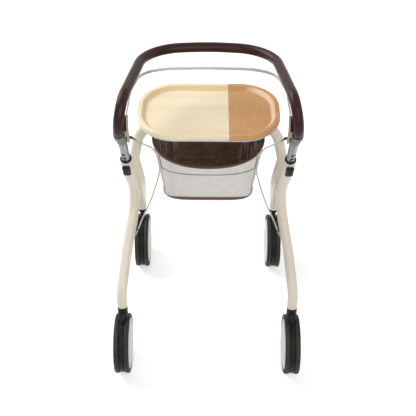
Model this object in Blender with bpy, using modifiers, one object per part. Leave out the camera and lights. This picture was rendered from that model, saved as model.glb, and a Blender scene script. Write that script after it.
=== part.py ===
"""A folding indoor rollator with a leather handle, a tray and a fabric basket.

Metres, +Z up. +Y is the direction of travel and the user stands at -Y.
The origin is on the floor, midway between the wheels.
Every left and right piece comes from one function, called with side -1 and +1.
"""

import math

import bmesh
import bpy
from mathutils import Matrix, Vector

# Fits
FIT_GAP = 0.0003
RUNNING_GAP = 0.0008
END_RUN = 0.004

# Wheels and stance
WHEEL_DIAMETER = 0.180
WHEELBASE = 0.466
REAR_TRACK = 0.506
FRONT_TRACK = 0.4445
TYRE_WIDTH = 0.0146
TYRE_HEIGHT = 0.0125
TWIN_SPACE = 0.0156
CASTER_TRAIL = 0.030
TYRE_SEAT_GAP = 0.0009
CAP_RISE = 0.0055
AXLE_DIAMETER = 0.008
DRUM_DIAMETER = 0.060
DRUM_RECESS = 0.0052
DISC_INSET = 0.003
TYRE_STEPS = 24
RIM_STEPS = 18

# Leg tubes
TUBE_DIAMETER = 0.030
TUBE_WALL = 0.0015
TUBE_SIDES = 10
TURN_STEPS = 16
HANDLE_SIDES = 10
LEG_END_ABOVE_WHEEL = 0.036
FRONT_END_ABOVE_WHEEL = 0.031
POST_SPACING = 0.441
POST_LEAN = math.radians(30)
POST_TOP_Y = -0.116
POST_TOP_HEIGHT = 0.700
SHOULDER_DROP = 0.125
SHOULDER_RADIUS = 0.500
KNEE_SPREAD = 0.419
KNEE_HEIGHT = 0.475
KNEE_RADIUS = 0.100
REAR_FOOT_SPREAD = 0.5025
REAR_FOOT_AHEAD = 0.0315
REAR_FOOT_RUN = 0.050
FOOT_RADIUS = 0.060
FRONT_KNEE_SPREAD = 0.398
FRONT_KNEE_Y = 0.036
FRONT_KNEE_HEIGHT = 0.508
FRONT_HIP_SPREAD = 0.4296
FRONT_HIP_Y = 0.0395
FRONT_HIP_HEIGHT = 0.584
FRONT_HIP_RADIUS = 0.050
FRONT_TOP_SPREAD = 0.3788
FRONT_TOP_Y = 0.045
FRONT_TOP_HEIGHT = 0.705
FRONT_TOP_RADIUS = 0.080
FRONT_FOOT_RUN = 0.042
CROSS_TUBE_LENGTH = 0.200
SPIGOT_LENGTH = 0.015

# Fold pivot
PIVOT_Y = 0.019
PIVOT_HEIGHT = 0.490
PIVOT_X = 0.2085
LUG_THICKNESS = 0.006
LUG_RADIUS = 0.010
PIN_DIAMETER = 0.008
PIN_HEAD_DIAMETER = 0.013
PIN_HEAD_HEIGHT = 0.0025

# Forks
PLUG_LENGTH = 0.022
CROWN_HEIGHT = 0.008
STEM_DIAMETER = 0.012
STEM_LENGTH = 0.030
SOCKET_FLANGE = 0.004
FORK_NECK_ABOVE_WHEEL = 0.002
FORK_SOCKET_LENGTH = 0.025
REAR_BLADE_DEPTH = 0.064
FRONT_BLADE_DEPTH = 0.044
DISC_STEPS = 24

# Brake shoes
SHOE_WIDTH = 0.0154
SHOE_SIDE_GAP = 0.0007
SHOE_LENGTH = 0.016
SHOE_TRAVEL = 0.0012

# Telescopic posts and what clamps them
POST_DIAMETER = 0.0235
POST_WALL = 0.0018
POST_BELOW_COLLAR = 0.062
RING_DIAMETER = 0.0304
RING_HEIGHT = 0.0032
BUSH_LENGTH = 0.030
COLLAR_WALL = 0.0012
COLLAR_LENGTH = 0.060
LEVER_LENGTH = 0.052
LEVER_THICKNESS = 0.012
LEVER_WIDTH = 0.0225
LEVER_PIVOT_DROP = 0.016
LEVER_PIN_DIAMETER = 0.004
BOSS_WIDTH = 0.009
BOSS_RADIUS = 0.0036

# Handle, measured along the post axis from the collar ring
CONNECTOR_BOTTOM = 0.117
CONNECTOR_TOP = 0.153
CONNECTOR_DIAMETER = 0.0296
ELBOW_UP = 0.132
ELBOW_LENGTH = 0.006
ELBOW_OFFSET = 0.005
HANDLE_TUBE_DIAMETER = 0.023
LEATHER_THICKNESS = 0.0019
HANDLE_BEND_RADIUS = 0.055
HANDLE_BEND_REACH = 0.275
HANDLE_BEND_SPREAD = 0.443
HANDLE_CORNER_SPREAD = 0.3475
HANDLE_CORNER_Y = 0.128
HANDLE_CORNER_HEIGHT = 0.891
HANDLE_CORNER_RADIUS = 0.122
HANDLE_FRONT_BOW = 0.017
HANDLE_FRONT_RADIUS = 0.600

# Brake bar and its blades
BAR_HEIGHT = 0.009
BAR_THICKNESS = 0.003
BAR_END_Y = -0.184
BAR_END_HEIGHT = 0.866
BAR_BULGE_SPREAD = 0.418
BAR_BULGE_Y = -0.115
BAR_BULGE_HEIGHT = 0.864
BAR_BULGE_RADIUS = 0.150
BAR_CORNER_SPREAD = 0.360
BAR_CORNER_Y = 0.098
BAR_CORNER_HEIGHT = 0.850
BAR_CORNER_RADIUS = 0.090
BLADE_THICKNESS = 0.0046
BLADE_WIDTH = 0.013
BLADE_PIVOT_UP = 0.126
BLADE_TIP_Y = -0.180
BLADE_TIP_HEIGHT = 0.878
BLADE_PIN_DIAMETER = 0.006

# Brake cables
CABLE_DIAMETER = 0.0048
CABLE_POINT_STEP = 0.018
ADJUSTER_DIAMETER = 0.0076
ADJUSTER_LENGTH = 0.019
ADJUSTER_DROP = 0.004
ADJUSTER_FORWARD = 0.010
ADJUSTER_SLOPE = (-0.70, 0.21, -0.69)
CABLE_HOLE_LOW = 0.340
CABLE_HOLE_HIGH = 0.460

# Tray
TRAY_WIDTH = 0.396
TRAY_DEPTH = 0.266
TRAY_Y = 0.0445
TRAY_TOP_HEIGHT = 0.753
TRAY_THICKNESS = 0.016
TRAY_FLOOR = 0.0045
TRAY_LIP_WIDTH = 0.013
TRAY_SLOPE_WIDTH = 0.011
TRAY_CORNER_RADIUS = 0.110
TRAY_CORNER_STEPS = 10
PAN_THICKNESS = 0.005
CORK_FROM_X = 0.056
SADDLE_SPACING = 0.150
SADDLE_LENGTH = 0.040
SADDLE_DEPTH = 0.044
SADDLE_WRAP = 0.008

# Basket
BASKET_WIDTH = 0.312
BASKET_DEPTH = 0.296
BASKET_Y = 0.020
BASKET_RIM_HEIGHT = 0.678
BASKET_ROUNDNESS = 2.2
BASKET_RIM_DIAMETER = 0.007
BASKET_WALL = 0.003
BASKET_BULGE = 0.80
BASKET_FLOOR_HEIGHT = 0.5166
BASKET_FLOOR_WIDTH = 0.258
BASKET_FLOOR_DEPTH = 0.184
BASKET_FLOOR_Y = 0.040
BASKET_FLOOR_ROUNDNESS = 4.6
BASKET_BASE_THICKNESS = 0.0143
BASKET_BASE_DRAFT = 0.004
BRACKET_LENGTH = 0.024
BRACKET_HEIGHT = 0.012
BASKET_STEPS = 32

# Colours and finishes: red, green, blue, roughness, metallic
FINISHES = {
    "cream_paint": (0.68, 0.61, 0.49, 0.42, 0.0),
    "black_plastic": (0.014, 0.014, 0.013, 0.45, 0.0),
    "tyre_rubber": (0.028, 0.028, 0.027, 0.65, 0.0),
    "white_plastic": (0.82, 0.82, 0.80, 0.35, 0.0),
    "steel": (0.55, 0.55, 0.54, 0.35, 1.0),
    "silver_aluminium": (0.42, 0.42, 0.41, 0.35, 0.8),
    "grey_plastic": (0.18, 0.19, 0.175, 0.5, 0.0),
    "brown_leather": (0.045, 0.018, 0.014, 0.5, 0.0),
    "taupe_plastic": (0.38, 0.31, 0.21, 0.5, 0.0),
    "cable_jacket": (0.42, 0.42, 0.41, 0.4, 0.2),
    "brass_brown": (0.12, 0.095, 0.06, 0.4, 0.6),
    "birch": (0.85, 0.73, 0.50, 0.5, 0.0),
    "cork": (0.56, 0.31, 0.13, 0.85, 0.0),
    "pan_grey": (0.52, 0.52, 0.55, 0.4, 0.0),
    "greige_fabric": (0.60, 0.57, 0.53, 0.9, 0.0),
    "brown_trim": (0.10, 0.035, 0.018, 0.6, 0.0),
}

# Sizes that follow from the ones above
WHEEL_RADIUS = WHEEL_DIAMETER / 2
RIM_RADIUS = WHEEL_RADIUS - TYRE_HEIGHT - TYRE_SEAT_GAP
TUBE_RADIUS = TUBE_DIAMETER / 2
TUBE_BORE = TUBE_RADIUS - TUBE_WALL
PLUG_RADIUS = TUBE_BORE * math.cos(math.pi / TUBE_SIDES) - FIT_GAP
DISC_WIDTH = TWIN_SPACE - 2 * RUNNING_GAP
DISC_RADIUS = WHEEL_RADIUS - DISC_INSET
POST_RADIUS = POST_DIAMETER / 2
POST_X = POST_SPACING / 2
REAR_FOOT_HEIGHT = WHEEL_DIAMETER + LEG_END_ABOVE_WHEEL
FRONT_FOOT_HEIGHT = WHEEL_DIAMETER + FRONT_END_ABOVE_WHEEL
REAR_AXLE_Y = -WHEELBASE / 2
FRONT_AXLE_Y = WHEELBASE / 2
STEM_Y = FRONT_AXLE_Y + CASTER_TRAIL
POST_UP = Vector((0, -math.sin(POST_LEAN), math.cos(POST_LEAN)))
POST_FRONT = Vector((0, -math.cos(POST_LEAN), -math.sin(POST_LEAN)))
TRAY_FLOOR_HEIGHT = TRAY_TOP_HEIGHT - TRAY_THICKNESS
PAN_TOP_HEIGHT = TRAY_FLOOR_HEIGHT - FIT_GAP
PAN_HEIGHT = PAN_TOP_HEIGHT - PAN_THICKNESS
GRIP_RADIUS = HANDLE_TUBE_DIAMETER / 2 + FIT_GAP + LEATHER_THICKNESS
SIDES = {"left": -1, "right": 1}


def clear_scene():
    """Remove every object, so that the script can run again."""
    for thing in list(bpy.data.objects):
        bpy.data.objects.remove(thing, do_unlink=True)


def make_collection(name):
    """A collection linked to the scene."""
    collection = bpy.data.collections.new(name)
    bpy.context.scene.collection.children.link(collection)
    return collection


def material(finish, name):
    """A Principled material of its own for one part."""
    red, green, blue, roughness, metallic = FINISHES[finish]
    made = bpy.data.materials.new(name + "_" + finish)
    made.use_nodes = True
    shader = made.node_tree.nodes["Principled BSDF"]
    shader.inputs["Base Color"].default_value = (red, green, blue, 1)
    shader.inputs["Roughness"].default_value = roughness
    shader.inputs["Metallic"].default_value = metallic
    made.diffuse_color = (red, green, blue, 1)
    return made


def mirror_x(point, side):
    """The point on the left (side -1) or right (side +1) of the rollator."""
    return Vector((point[0] * side, point[1], point[2]))


def on_post(up, out=0.0, side=1):
    """A point on the post axis: up from the collar ring, and out towards the user."""
    base = Vector((POST_X * side, POST_TOP_Y, POST_TOP_HEIGHT))
    return base + POST_UP * up + POST_FRONT * out


def arc_reaches(corners, radii):
    """How far each arc starts from its corner, drawn in where a run is too short for its arcs.

    The first and last runs keep a straight stretch, so that a tube meets its neighbour square.
    """
    wanted = [END_RUN]
    for before, corner, after, radius in zip(corners, corners[1:], corners[2:], radii):
        opening = (before - corner).angle(after - corner)
        wanted.append(radius / math.tan(opening / 2))
    wanted.append(END_RUN)
    reaches = list(wanted)
    for index, (start, end) in enumerate(zip(corners, corners[1:])):
        share = (end - start).length / (wanted[index] + wanted[index + 1])
        for near in (index, index + 1):
            reaches[near] = min(reaches[near], wanted[near] * share)
    return reaches[1:-1]


def rounded_path(corners, radii, turn_step=math.radians(14)):
    """A centre line of straight runs joined by arcs, one radius for each inner corner."""
    corners = [Vector(corner) for corner in corners]
    points = [corners[0]]
    inner = zip(corners, corners[1:], corners[2:], arc_reaches(corners, radii))
    for before, corner, after, reach in inner:
        back = (before - corner).normalized()
        ahead = (after - corner).normalized()
        opening = back.angle(ahead)
        turn = math.pi - opening
        centre = corner + (back + ahead).normalized() * reach / math.cos(opening / 2)
        start = corner + back * reach - centre
        end = corner + ahead * reach - centre
        steps = max(2, math.ceil(turn / turn_step))
        for index in range(steps + 1):
            share = index / steps
            first = math.sin((1 - share) * turn) / math.sin(turn)
            second = math.sin(share * turn) / math.sin(turn)
            points.append(centre + start * first + end * second)
    points.append(corners[-1])
    return points


def smooth_path(points, step):
    """Points about a step apart on the smooth curve through the given ones."""
    points = [Vector(point) for point in points]
    padded = [2 * points[0] - points[1]] + points + [2 * points[-1] - points[-2]]
    path = [points[0]]
    for p0, p1, p2, p3 in zip(padded, padded[1:], padded[2:], padded[3:]):
        count = max(1, round((p2 - p1).length / step))
        for index in range(1, count + 1):
            t = index / count
            blend = 2 * p1 + (p2 - p0) * t
            blend = blend + (2 * p0 - 5 * p1 + 4 * p2 - p3) * t ** 2
            blend = blend + (3 * p1 - p0 - 3 * p2 + p3) * t ** 3
            path.append(blend / 2)
    return path


def nearest_on_path(path, target):
    """The point of a centre line that lies closest to the target in side view."""
    best = None
    for start, end in zip(path, path[1:]):
        for index in range(11):
            point = start.lerp(end, index / 10)
            flat = Vector((0, point.y - target.y, point.z - target.z))
            if best is None or flat.length < best[0]:
                best = (flat.length, point)
    return best[1]


def around(radius, steps=TURN_STEPS):
    """Radius of a faceted bore that clears a round piece all the way."""
    return (radius + FIT_GAP) / math.cos(math.pi / steps)


def path_length(path):
    """Length of a centre line."""
    return sum((end - start).length for start, end in zip(path, path[1:]))


def link(thing, collection):
    """Put an object in one collection only."""
    for owner in list(thing.users_collection):
        owner.objects.unlink(thing)
    collection.objects.link(thing)


def new_mesh_object(name, work, origin=(0, 0, 0)):
    """A mesh object from a bmesh in world coordinates, with its origin at a point."""
    origin = Vector(origin)
    bmesh.ops.translate(work, verts=work.verts, vec=-origin)
    mesh = bpy.data.meshes.new(name)
    work.to_mesh(mesh)
    work.free()
    thing = bpy.data.objects.new(name, mesh)
    thing.location = origin
    link(thing, PARTS)
    return thing


def finish_part(thing, finish, parent, smooth=True):
    """Give a part its material, smooth shading and parent empty."""
    thing.data.materials.clear()
    thing.data.materials.append(material(finish, thing.name))
    if smooth and thing.type == "MESH":
        thing.data.shade_smooth()
        thing.data.set_sharp_from_angle(angle=math.radians(35))
    if parent is not None:
        thing.parent = parent
        thing.matrix_parent_inverse = Matrix.Translation(-parent.location)
    return thing


def guide(thing):
    """Turn an object into a cutter or joiner that is no part itself."""
    link(thing, CUTTERS)
    thing.hide_render = True
    thing.display_type = "WIRE"
    return thing


def boolean(thing, other, operation="DIFFERENCE"):
    """Cut the thing with another object, or join the two."""
    modifier = thing.modifiers.new(other.name, "BOOLEAN")
    modifier.operation = operation
    modifier.solver = "EXACT"
    modifier.object = guide(other)


def box(name, size, centre, turn=None):
    """A box of the given size round a centre, turned about it."""
    work = bmesh.new()
    bmesh.ops.create_cube(work, size=1)
    bmesh.ops.scale(work, vec=size, verts=work.verts)
    if turn is not None:
        bmesh.ops.rotate(work, matrix=turn, verts=work.verts)
    bmesh.ops.translate(work, vec=Vector(centre), verts=work.verts)
    return new_mesh_object(name, work, centre)


def rod(name, start, end, radius, sides=16, end_radius=None):
    """A cylinder or cone from one point to another."""
    start = Vector(start)
    end = Vector(end)
    along = end - start
    work = bmesh.new()
    bmesh.ops.create_cone(
        work,
        cap_ends=True,
        segments=sides,
        radius1=radius,
        radius2=radius if end_radius is None else end_radius,
        depth=along.length,
    )
    turn = Vector((0, 0, 1)).rotation_difference(along).to_matrix()
    bmesh.ops.rotate(work, matrix=turn, verts=work.verts)
    bmesh.ops.translate(work, vec=(start + end) / 2, verts=work.verts)
    return new_mesh_object(name, work, start)


def turned(name, profile, base, axis, steps):
    """A turned piece: a profile of (radius, height) points swept about an axis.

    The profile runs from the top down its outer side, and then up any bore.
    """
    mesh = bpy.data.meshes.new(name)
    points = [(radius, 0, height) for radius, height in profile]
    closed = profile[0][0] > 0
    count = len(points)
    edges = [(index, index + 1) for index in range(count - 1)]
    if closed:
        edges.append((count - 1, 0))
    mesh.from_pydata(points, edges, [])
    thing = bpy.data.objects.new(name, mesh)
    thing.location = Vector(base)
    thing.rotation_mode = "QUATERNION"
    thing.rotation_quaternion = Vector((0, 0, 1)).rotation_difference(Vector(axis))
    link(thing, PARTS)
    screw = thing.modifiers.new("Turn", "SCREW")
    screw.steps = steps
    screw.render_steps = steps
    screw.use_merge_vertices = True
    screw.merge_threshold = 0.00001
    return thing


def baked(thing, name=None):
    """The thing with its modifiers applied, as a plain mesh in world coordinates."""
    bpy.context.view_layer.update()
    graph = bpy.context.evaluated_depsgraph_get()
    mesh = bpy.data.meshes.new_from_object(thing.evaluated_get(graph))
    work = bmesh.new()
    work.from_mesh(mesh)
    work.transform(thing.matrix_world)
    bmesh.ops.remove_doubles(work, verts=work.verts, dist=0.000002)
    if all(edge.is_manifold for edge in work.edges):
        bmesh.ops.recalc_face_normals(work, faces=work.faces)
    origin = thing.matrix_world.translation.copy()
    name = name or thing.name
    bpy.data.objects.remove(thing, do_unlink=True)
    return new_mesh_object(name, work, origin)


def tube_curve(name, path, radius, sides, capped=True, origin=(0, 0, 0)):
    """A round tube along a path, as a curve object."""
    origin = Vector(origin)
    curve = bpy.data.curves.new(name, "CURVE")
    curve.dimensions = "3D"
    curve.bevel_depth = radius
    curve.bevel_resolution = (sides - 4) // 2
    curve.use_fill_caps = capped
    spline = curve.splines.new("POLY")
    spline.points.add(len(path) - 1)
    for knot, point in zip(spline.points, path):
        knot.co = (*(Vector(point) - origin), 1)
    thing = bpy.data.objects.new(name, curve)
    thing.location = origin
    link(thing, PARTS)
    return thing


def pipe(name, path, radius, wall, sides, origin=(0, 0, 0)):
    """A hollow tube along a path, open at both ends."""
    shell = baked(tube_curve(name + "_skin", path, radius, sides, False, origin), name)
    solid = shell.modifiers.new("Wall", "SOLIDIFY")
    solid.thickness = wall
    solid.offset = -1
    return shell


def flat_bar(name, path, height, thickness, origin=(0, 0, 0)):
    """A flat bar on edge along a path."""
    thing = tube_curve(name, path, 0, 4, True, origin)
    section = bpy.data.curves.new(name + "_section", "CURVE")
    section.dimensions = "2D"
    outline = section.splines.new("POLY")
    outline.points.add(3)
    outline.use_cyclic_u = True
    half_t = thickness / 2
    half_h = height / 2
    corners = ((-half_t, -half_h), (half_t, -half_h), (half_t, half_h), (-half_t, half_h))
    for knot, (across, up) in zip(outline.points, corners):
        knot.co = (across, up, 0, 1)
    guide_curve = guide(bpy.data.objects.new(name + "_section", section))
    thing.data.bevel_mode = "OBJECT"
    thing.data.bevel_object = guide_curve
    thing.data.twist_mode = "Z_UP"
    return baked(thing)


def oval(width, depth, roundness, centre_y, height, steps, inset=0.0):
    """Points of a rounded oval: |x/a|^n + |y/b|^n = 1, drawn in by an inset."""
    half_w = width / 2 - inset
    half_d = depth / 2 - inset
    points = []
    for index in range(steps):
        angle = 2 * math.pi * index / steps
        across = math.cos(angle)
        along = math.sin(angle)
        x = half_w * math.copysign(abs(across) ** (2 / roundness), across)
        y = half_d * math.copysign(abs(along) ** (2 / roundness), along)
        points.append(Vector((x, centre_y + y, height)))
    return points


def tray_outline(height, inset=0.0):
    """Outline of the tray: a rectangle with large round corners, drawn in by an inset."""
    radius = TRAY_CORNER_RADIUS - inset
    across = TRAY_WIDTH / 2 - TRAY_CORNER_RADIUS
    along = TRAY_DEPTH / 2 - TRAY_CORNER_RADIUS
    points = []
    for quarter, (x, y) in enumerate(((1, 1), (-1, 1), (-1, -1), (1, -1))):
        for index in range(TRAY_CORNER_STEPS + 1):
            angle = math.pi / 2 * (quarter + index / TRAY_CORNER_STEPS)
            round_x = radius * math.cos(angle)
            round_y = radius * math.sin(angle)
            points.append(Vector((across * x + round_x, TRAY_Y + along * y + round_y, height)))
    return points


def loft(name, rings, close_start=True, close_end=True, origin=(0, 0, 0)):
    """A skin over rings of equal point counts."""
    work = bmesh.new()
    rows = [[work.verts.new(point) for point in ring] for ring in rings]
    for lower, upper in zip(rows, rows[1:]):
        count = len(lower)
        for index in range(count):
            after = (index + 1) % count
            work.faces.new((lower[index], lower[after], upper[after], upper[index]))
    if close_start:
        work.faces.new(list(reversed(rows[0])))
    if close_end:
        work.faces.new(rows[-1])
    return new_mesh_object(name, work, origin)


def ring_about(centre, half_x, half_y, height, steps=16):
    """An ellipse of points at a height, for lofting."""
    points = []
    for index in range(steps):
        angle = 2 * math.pi * index / steps
        offset = Vector((half_x * math.cos(angle), half_y * math.sin(angle), 0))
        points.append(Vector((centre[0], centre[1], height)) + offset)
    return points


def disc_ring(centre, axis, radius, steps):
    """A circle of points about an axis that leans in side view, for lofting."""
    axis = Vector(axis).normalized()
    across = Vector((1, 0, 0)) - axis * axis.x
    across.normalize()
    third = axis.cross(across)
    points = []
    for index in range(steps):
        angle = 2 * math.pi * index / steps
        points.append(centre + (across * math.cos(angle) + third * math.sin(angle)) * radius)
    return points


def stadium(name, start, end, radius, width, sides=16):
    """A plate across X with round ends about two points in side view."""
    start = Vector(start)
    end = Vector(end)
    along = (end - start).normalized()
    normal = Vector((1, 0, 0)).cross(along)
    outline = []
    for centre, facing in ((end, along), (start, -along)):
        across = normal if facing == along else -normal
        for index in range(sides // 2 + 1):
            angle = -math.pi / 2 + math.pi * index / (sides // 2)
            outline.append(centre + (facing * math.cos(angle) + across * math.sin(angle)) * radius)
    half = Vector((width / 2, 0, 0))
    thing = loft(name, [[p - half for p in outline], [p + half for p in outline]], origin=start)
    return thing


def empty(name, point):
    """An empty that carries one moving body and sits on its joint."""
    thing = bpy.data.objects.new(name, None)
    thing.location = Vector(point)
    thing.empty_display_size = 0.03
    CUTTERS.objects.link(thing)
    return thing


def rear_leg_path(side):
    """Centre line of a rear leg, from its foot up to the collar."""
    top = on_post(-RING_HEIGHT - FIT_GAP, side=side)
    knee_y = POST_TOP_Y + (POST_TOP_HEIGHT - KNEE_HEIGHT) * math.tan(POST_LEAN)
    foot_x = REAR_FOOT_SPREAD / 2 * side
    foot_y = REAR_AXLE_Y + REAR_FOOT_AHEAD
    corners = [
        (foot_x, foot_y, REAR_FOOT_HEIGHT),
        (foot_x, foot_y, REAR_FOOT_HEIGHT + REAR_FOOT_RUN),
        (KNEE_SPREAD / 2 * side, knee_y, KNEE_HEIGHT),
        on_post(-SHOULDER_DROP, side=side),
        top,
    ]
    return rounded_path(corners, [FOOT_RADIUS, KNEE_RADIUS, SHOULDER_RADIUS])


def front_leg_path(side):
    """Centre line of a front leg, from its foot up and in to the cross tube."""
    foot_x = FRONT_TRACK / 2 * side
    corners = [
        (foot_x, STEM_Y, FRONT_FOOT_HEIGHT),
        (foot_x, STEM_Y, FRONT_FOOT_HEIGHT + FRONT_FOOT_RUN),
        (FRONT_KNEE_SPREAD / 2 * side, FRONT_KNEE_Y, FRONT_KNEE_HEIGHT),
        (FRONT_HIP_SPREAD / 2 * side, FRONT_HIP_Y, FRONT_HIP_HEIGHT),
        (FRONT_TOP_SPREAD / 2 * side, FRONT_TOP_Y, FRONT_TOP_HEIGHT),
        (CROSS_TUBE_LENGTH / 2 * side, FRONT_TOP_Y, FRONT_TOP_HEIGHT),
    ]
    return rounded_path(corners, [FOOT_RADIUS, KNEE_RADIUS, FRONT_HIP_RADIUS, FRONT_TOP_RADIUS])


def pivot_point(side, x=0.0):
    """The fold pivot axis at a distance from the middle."""
    return Vector((x * side, PIVOT_Y, PIVOT_HEIGHT))


def handle_bend(side):
    """The corner where a handle arm turns forward, a little outside its post."""
    point = on_post(HANDLE_BEND_REACH)
    point.x = HANDLE_BEND_SPREAD / 2
    return mirror_x(point, side)


def on_handle_end(up, side):
    """A point on a handle end's axis, which lies outside the post axis at the elbow."""
    start = on_post(ELBOW_UP) + Vector((ELBOW_OFFSET, 0, 0))
    start = mirror_x(start, side)
    along = (handle_bend(side) - start).normalized()
    return start + along * (up - ELBOW_UP)


def handle_path(depth=0.0):
    """Centre line of the handle, from the left connector over the front to the right.

    A depth lengthens both ends straight down into the connectors.
    """
    left = on_handle_end(CONNECTOR_TOP + FIT_GAP, -1)
    bend = handle_bend(-1)
    corner = Vector((-HANDLE_CORNER_SPREAD / 2, HANDLE_CORNER_Y, HANDLE_CORNER_HEIGHT))
    front = Vector((0, HANDLE_CORNER_Y + HANDLE_FRONT_BOW, HANDLE_CORNER_HEIGHT))
    half = [left, bend, corner]
    corners = half + [front] + [mirror_x(point, -1) for point in reversed(half)]
    radii = [HANDLE_BEND_RADIUS, HANDLE_CORNER_RADIUS]
    radii = radii + [HANDLE_FRONT_RADIUS] + radii[::-1]
    path = rounded_path(corners, radii, math.radians(18))
    path[0] = on_handle_end(CONNECTOR_TOP + FIT_GAP - depth, -1)
    path[-1] = mirror_x(path[0], -1)
    return path


def blade_pivot(side):
    """Where a brake blade turns on its connector."""
    point = on_post(BLADE_PIVOT_UP, side=side)
    return Vector((blade_x(side), point.y, point.z))


def blade_x(side):
    """Middle of a brake blade, just inside its connector."""
    return side * (POST_X - CONNECTOR_DIAMETER / 2 - FIT_GAP - BLADE_THICKNESS / 2)


def adjuster_ends(side):
    """The barrel adjuster's seat on the connector, and its lower end."""
    seat = on_post(BLADE_PIVOT_UP - ADJUSTER_DROP, side=side)
    inner = POST_X - CONNECTOR_DIAMETER / 2 - BLADE_THICKNESS - 2 * FIT_GAP
    start = Vector((side * inner, seat.y + ADJUSTER_FORWARD, seat.z))
    slope = mirror_x(Vector(ADJUSTER_SLOPE), side).normalized()
    return start, start + slope * ADJUSTER_LENGTH


def cable_path(side):
    """Centre line of a brake cable, from its adjuster to the brake shoe in the fork.

    The free stretch hangs past the basket; the rest runs inside the leg.
    """
    end = adjuster_ends(side)[1]
    slope = (end - adjuster_ends(side)[0]).normalized()
    start = end + slope * FIT_GAP
    free = [
        (0.1754, -0.161, 0.783),
        (0.1580, -0.158, 0.771),
        (0.1455, -0.155, 0.761),
        (0.1375, -0.151, 0.743),
        (0.1311, -0.144, 0.714),
        (0.1299, -0.137, 0.685),
        (0.1311, -0.132, 0.664),
        (0.1413, -0.118, 0.614),
        (0.1550, -0.105, 0.561),
        (0.1672, -0.095, 0.519),
        (0.1911, -0.078, 0.449),
        (0.2060, -0.074, 0.404),
    ]
    leg = rear_leg_path(side)
    inside = [point for point in leg if REAR_FOOT_HEIGHT + 0.004 < point.z < 0.372]
    inside.reverse()
    entry = Vector((0.2165 * side, -0.078, 0.383))
    axle = Vector((REAR_TRACK / 2 * side, REAR_AXLE_Y, WHEEL_RADIUS))
    end = axle + shoe_direction() * (shoe_top_radius() + FIT_GAP)
    points = [start] + [mirror_x(point, side) for point in free] + [entry] + inside + [end]
    return smooth_path(points, CABLE_POINT_STEP)


def shoe_direction():
    """The way a brake shoe slides: from the axle towards the leg's foot, in side view."""
    rise = REAR_FOOT_HEIGHT - WHEEL_RADIUS
    return Vector((0, REAR_FOOT_AHEAD, rise)).normalized()


def shoe_face_radius():
    """Radius of the shoe's lining at rest, clear of the drum by its travel."""
    return DRUM_DIAMETER / 2 + SHOE_TRAVEL + FIT_GAP + 0.0002


def shoe_top_radius():
    """How far the shoe's back reaches from the axle."""
    return shoe_face_radius() + SHOE_LENGTH


def build_rear_leg(side, name, body):
    """A hollow rear leg with its pivot lug and the hole where the cable goes in."""
    path = rear_leg_path(side)
    leg = pipe("rear_leg_" + name, path, TUBE_RADIUS, TUBE_WALL, TUBE_SIDES)
    near = nearest_on_path(path, pivot_point(side))
    add_lug(leg, side, near, PIVOT_X + LUG_THICKNESS / 2)
    hole = [p for p in cable_path(side) if CABLE_HOLE_LOW < p.z < CABLE_HOLE_HIGH]
    cutter = baked(tube_curve("cable_hole_" + name, hole, CABLE_DIAMETER / 2 + 0.0008, 8))
    boolean(leg, cutter)
    finish_part(leg, "cream_paint", body)


def add_lug(leg, side, near, lug_x):
    """Weld a pivot lug with its bore to a leg tube."""
    pivot = pivot_point(side, lug_x)
    towards = Vector((0, near.y - pivot.y, near.z - pivot.z))
    reach = towards.length - TUBE_BORE + 0.003
    foot = pivot + towards.normalized() * reach
    plate = stadium(leg.name + "_lug", pivot, foot, LUG_RADIUS, LUG_THICKNESS)
    boolean(leg, plate, "UNION")
    half = Vector((LUG_THICKNESS, 0, 0))
    bore = rod(leg.name + "_bore", pivot - half, pivot + half, PIN_DIAMETER / 2 + FIT_GAP)
    boolean(leg, bore)


def build_front_leg(side, name, body):
    """A hollow front leg with its pivot lug, open towards the cross tube."""
    path = front_leg_path(side)
    leg = pipe("front_leg_" + name, path, TUBE_RADIUS, TUBE_WALL, TUBE_SIDES, body.location)
    near = nearest_on_path(path, pivot_point(side))
    add_lug(leg, side, near, PIVOT_X - LUG_THICKNESS / 2 - 2 * FIT_GAP)
    finish_part(leg, "cream_paint", body)


def build_fold_pin(side, name, body):
    """A rivet pin through both lugs, with a head at each end."""
    outer = PIVOT_X + LUG_THICKNESS + FIT_GAP
    inner = PIVOT_X - LUG_THICKNESS - 3 * FIT_GAP
    head = PIN_HEAD_HEIGHT
    length = outer - inner
    profile = [
        (0, length + head),
        (PIN_HEAD_DIAMETER / 2, length + head),
        (PIN_HEAD_DIAMETER / 2, length),
        (PIN_DIAMETER / 2, length),
        (PIN_DIAMETER / 2, 0),
        (PIN_HEAD_DIAMETER / 2, 0),
        (PIN_HEAD_DIAMETER / 2, -head),
        (0, -head),
    ]
    pin = turned("fold_pin_" + name, profile, pivot_point(side, inner), (side, 0, 0), 16)
    finish_part(pin, "steel", body)


def build_cross_tube(body):
    """The bridge under the tray, with a spigot into each front leg."""
    half = CROSS_TUBE_LENGTH / 2 - FIT_GAP
    length = 2 * (half + SPIGOT_LENGTH)
    profile = [
        (0, length),
        (PLUG_RADIUS, length),
        (PLUG_RADIUS, length - SPIGOT_LENGTH),
        (TUBE_RADIUS, length - SPIGOT_LENGTH),
        (TUBE_RADIUS, SPIGOT_LENGTH),
        (PLUG_RADIUS, SPIGOT_LENGTH),
        (PLUG_RADIUS, 0),
        (0, 0),
    ]
    base = Vector((-half - SPIGOT_LENGTH, FRONT_TOP_Y, FRONT_TOP_HEIGHT))
    tube = turned("cross_tube", profile, base, (1, 0, 0), 16)
    finish_part(tube, "cream_paint", body)


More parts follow.
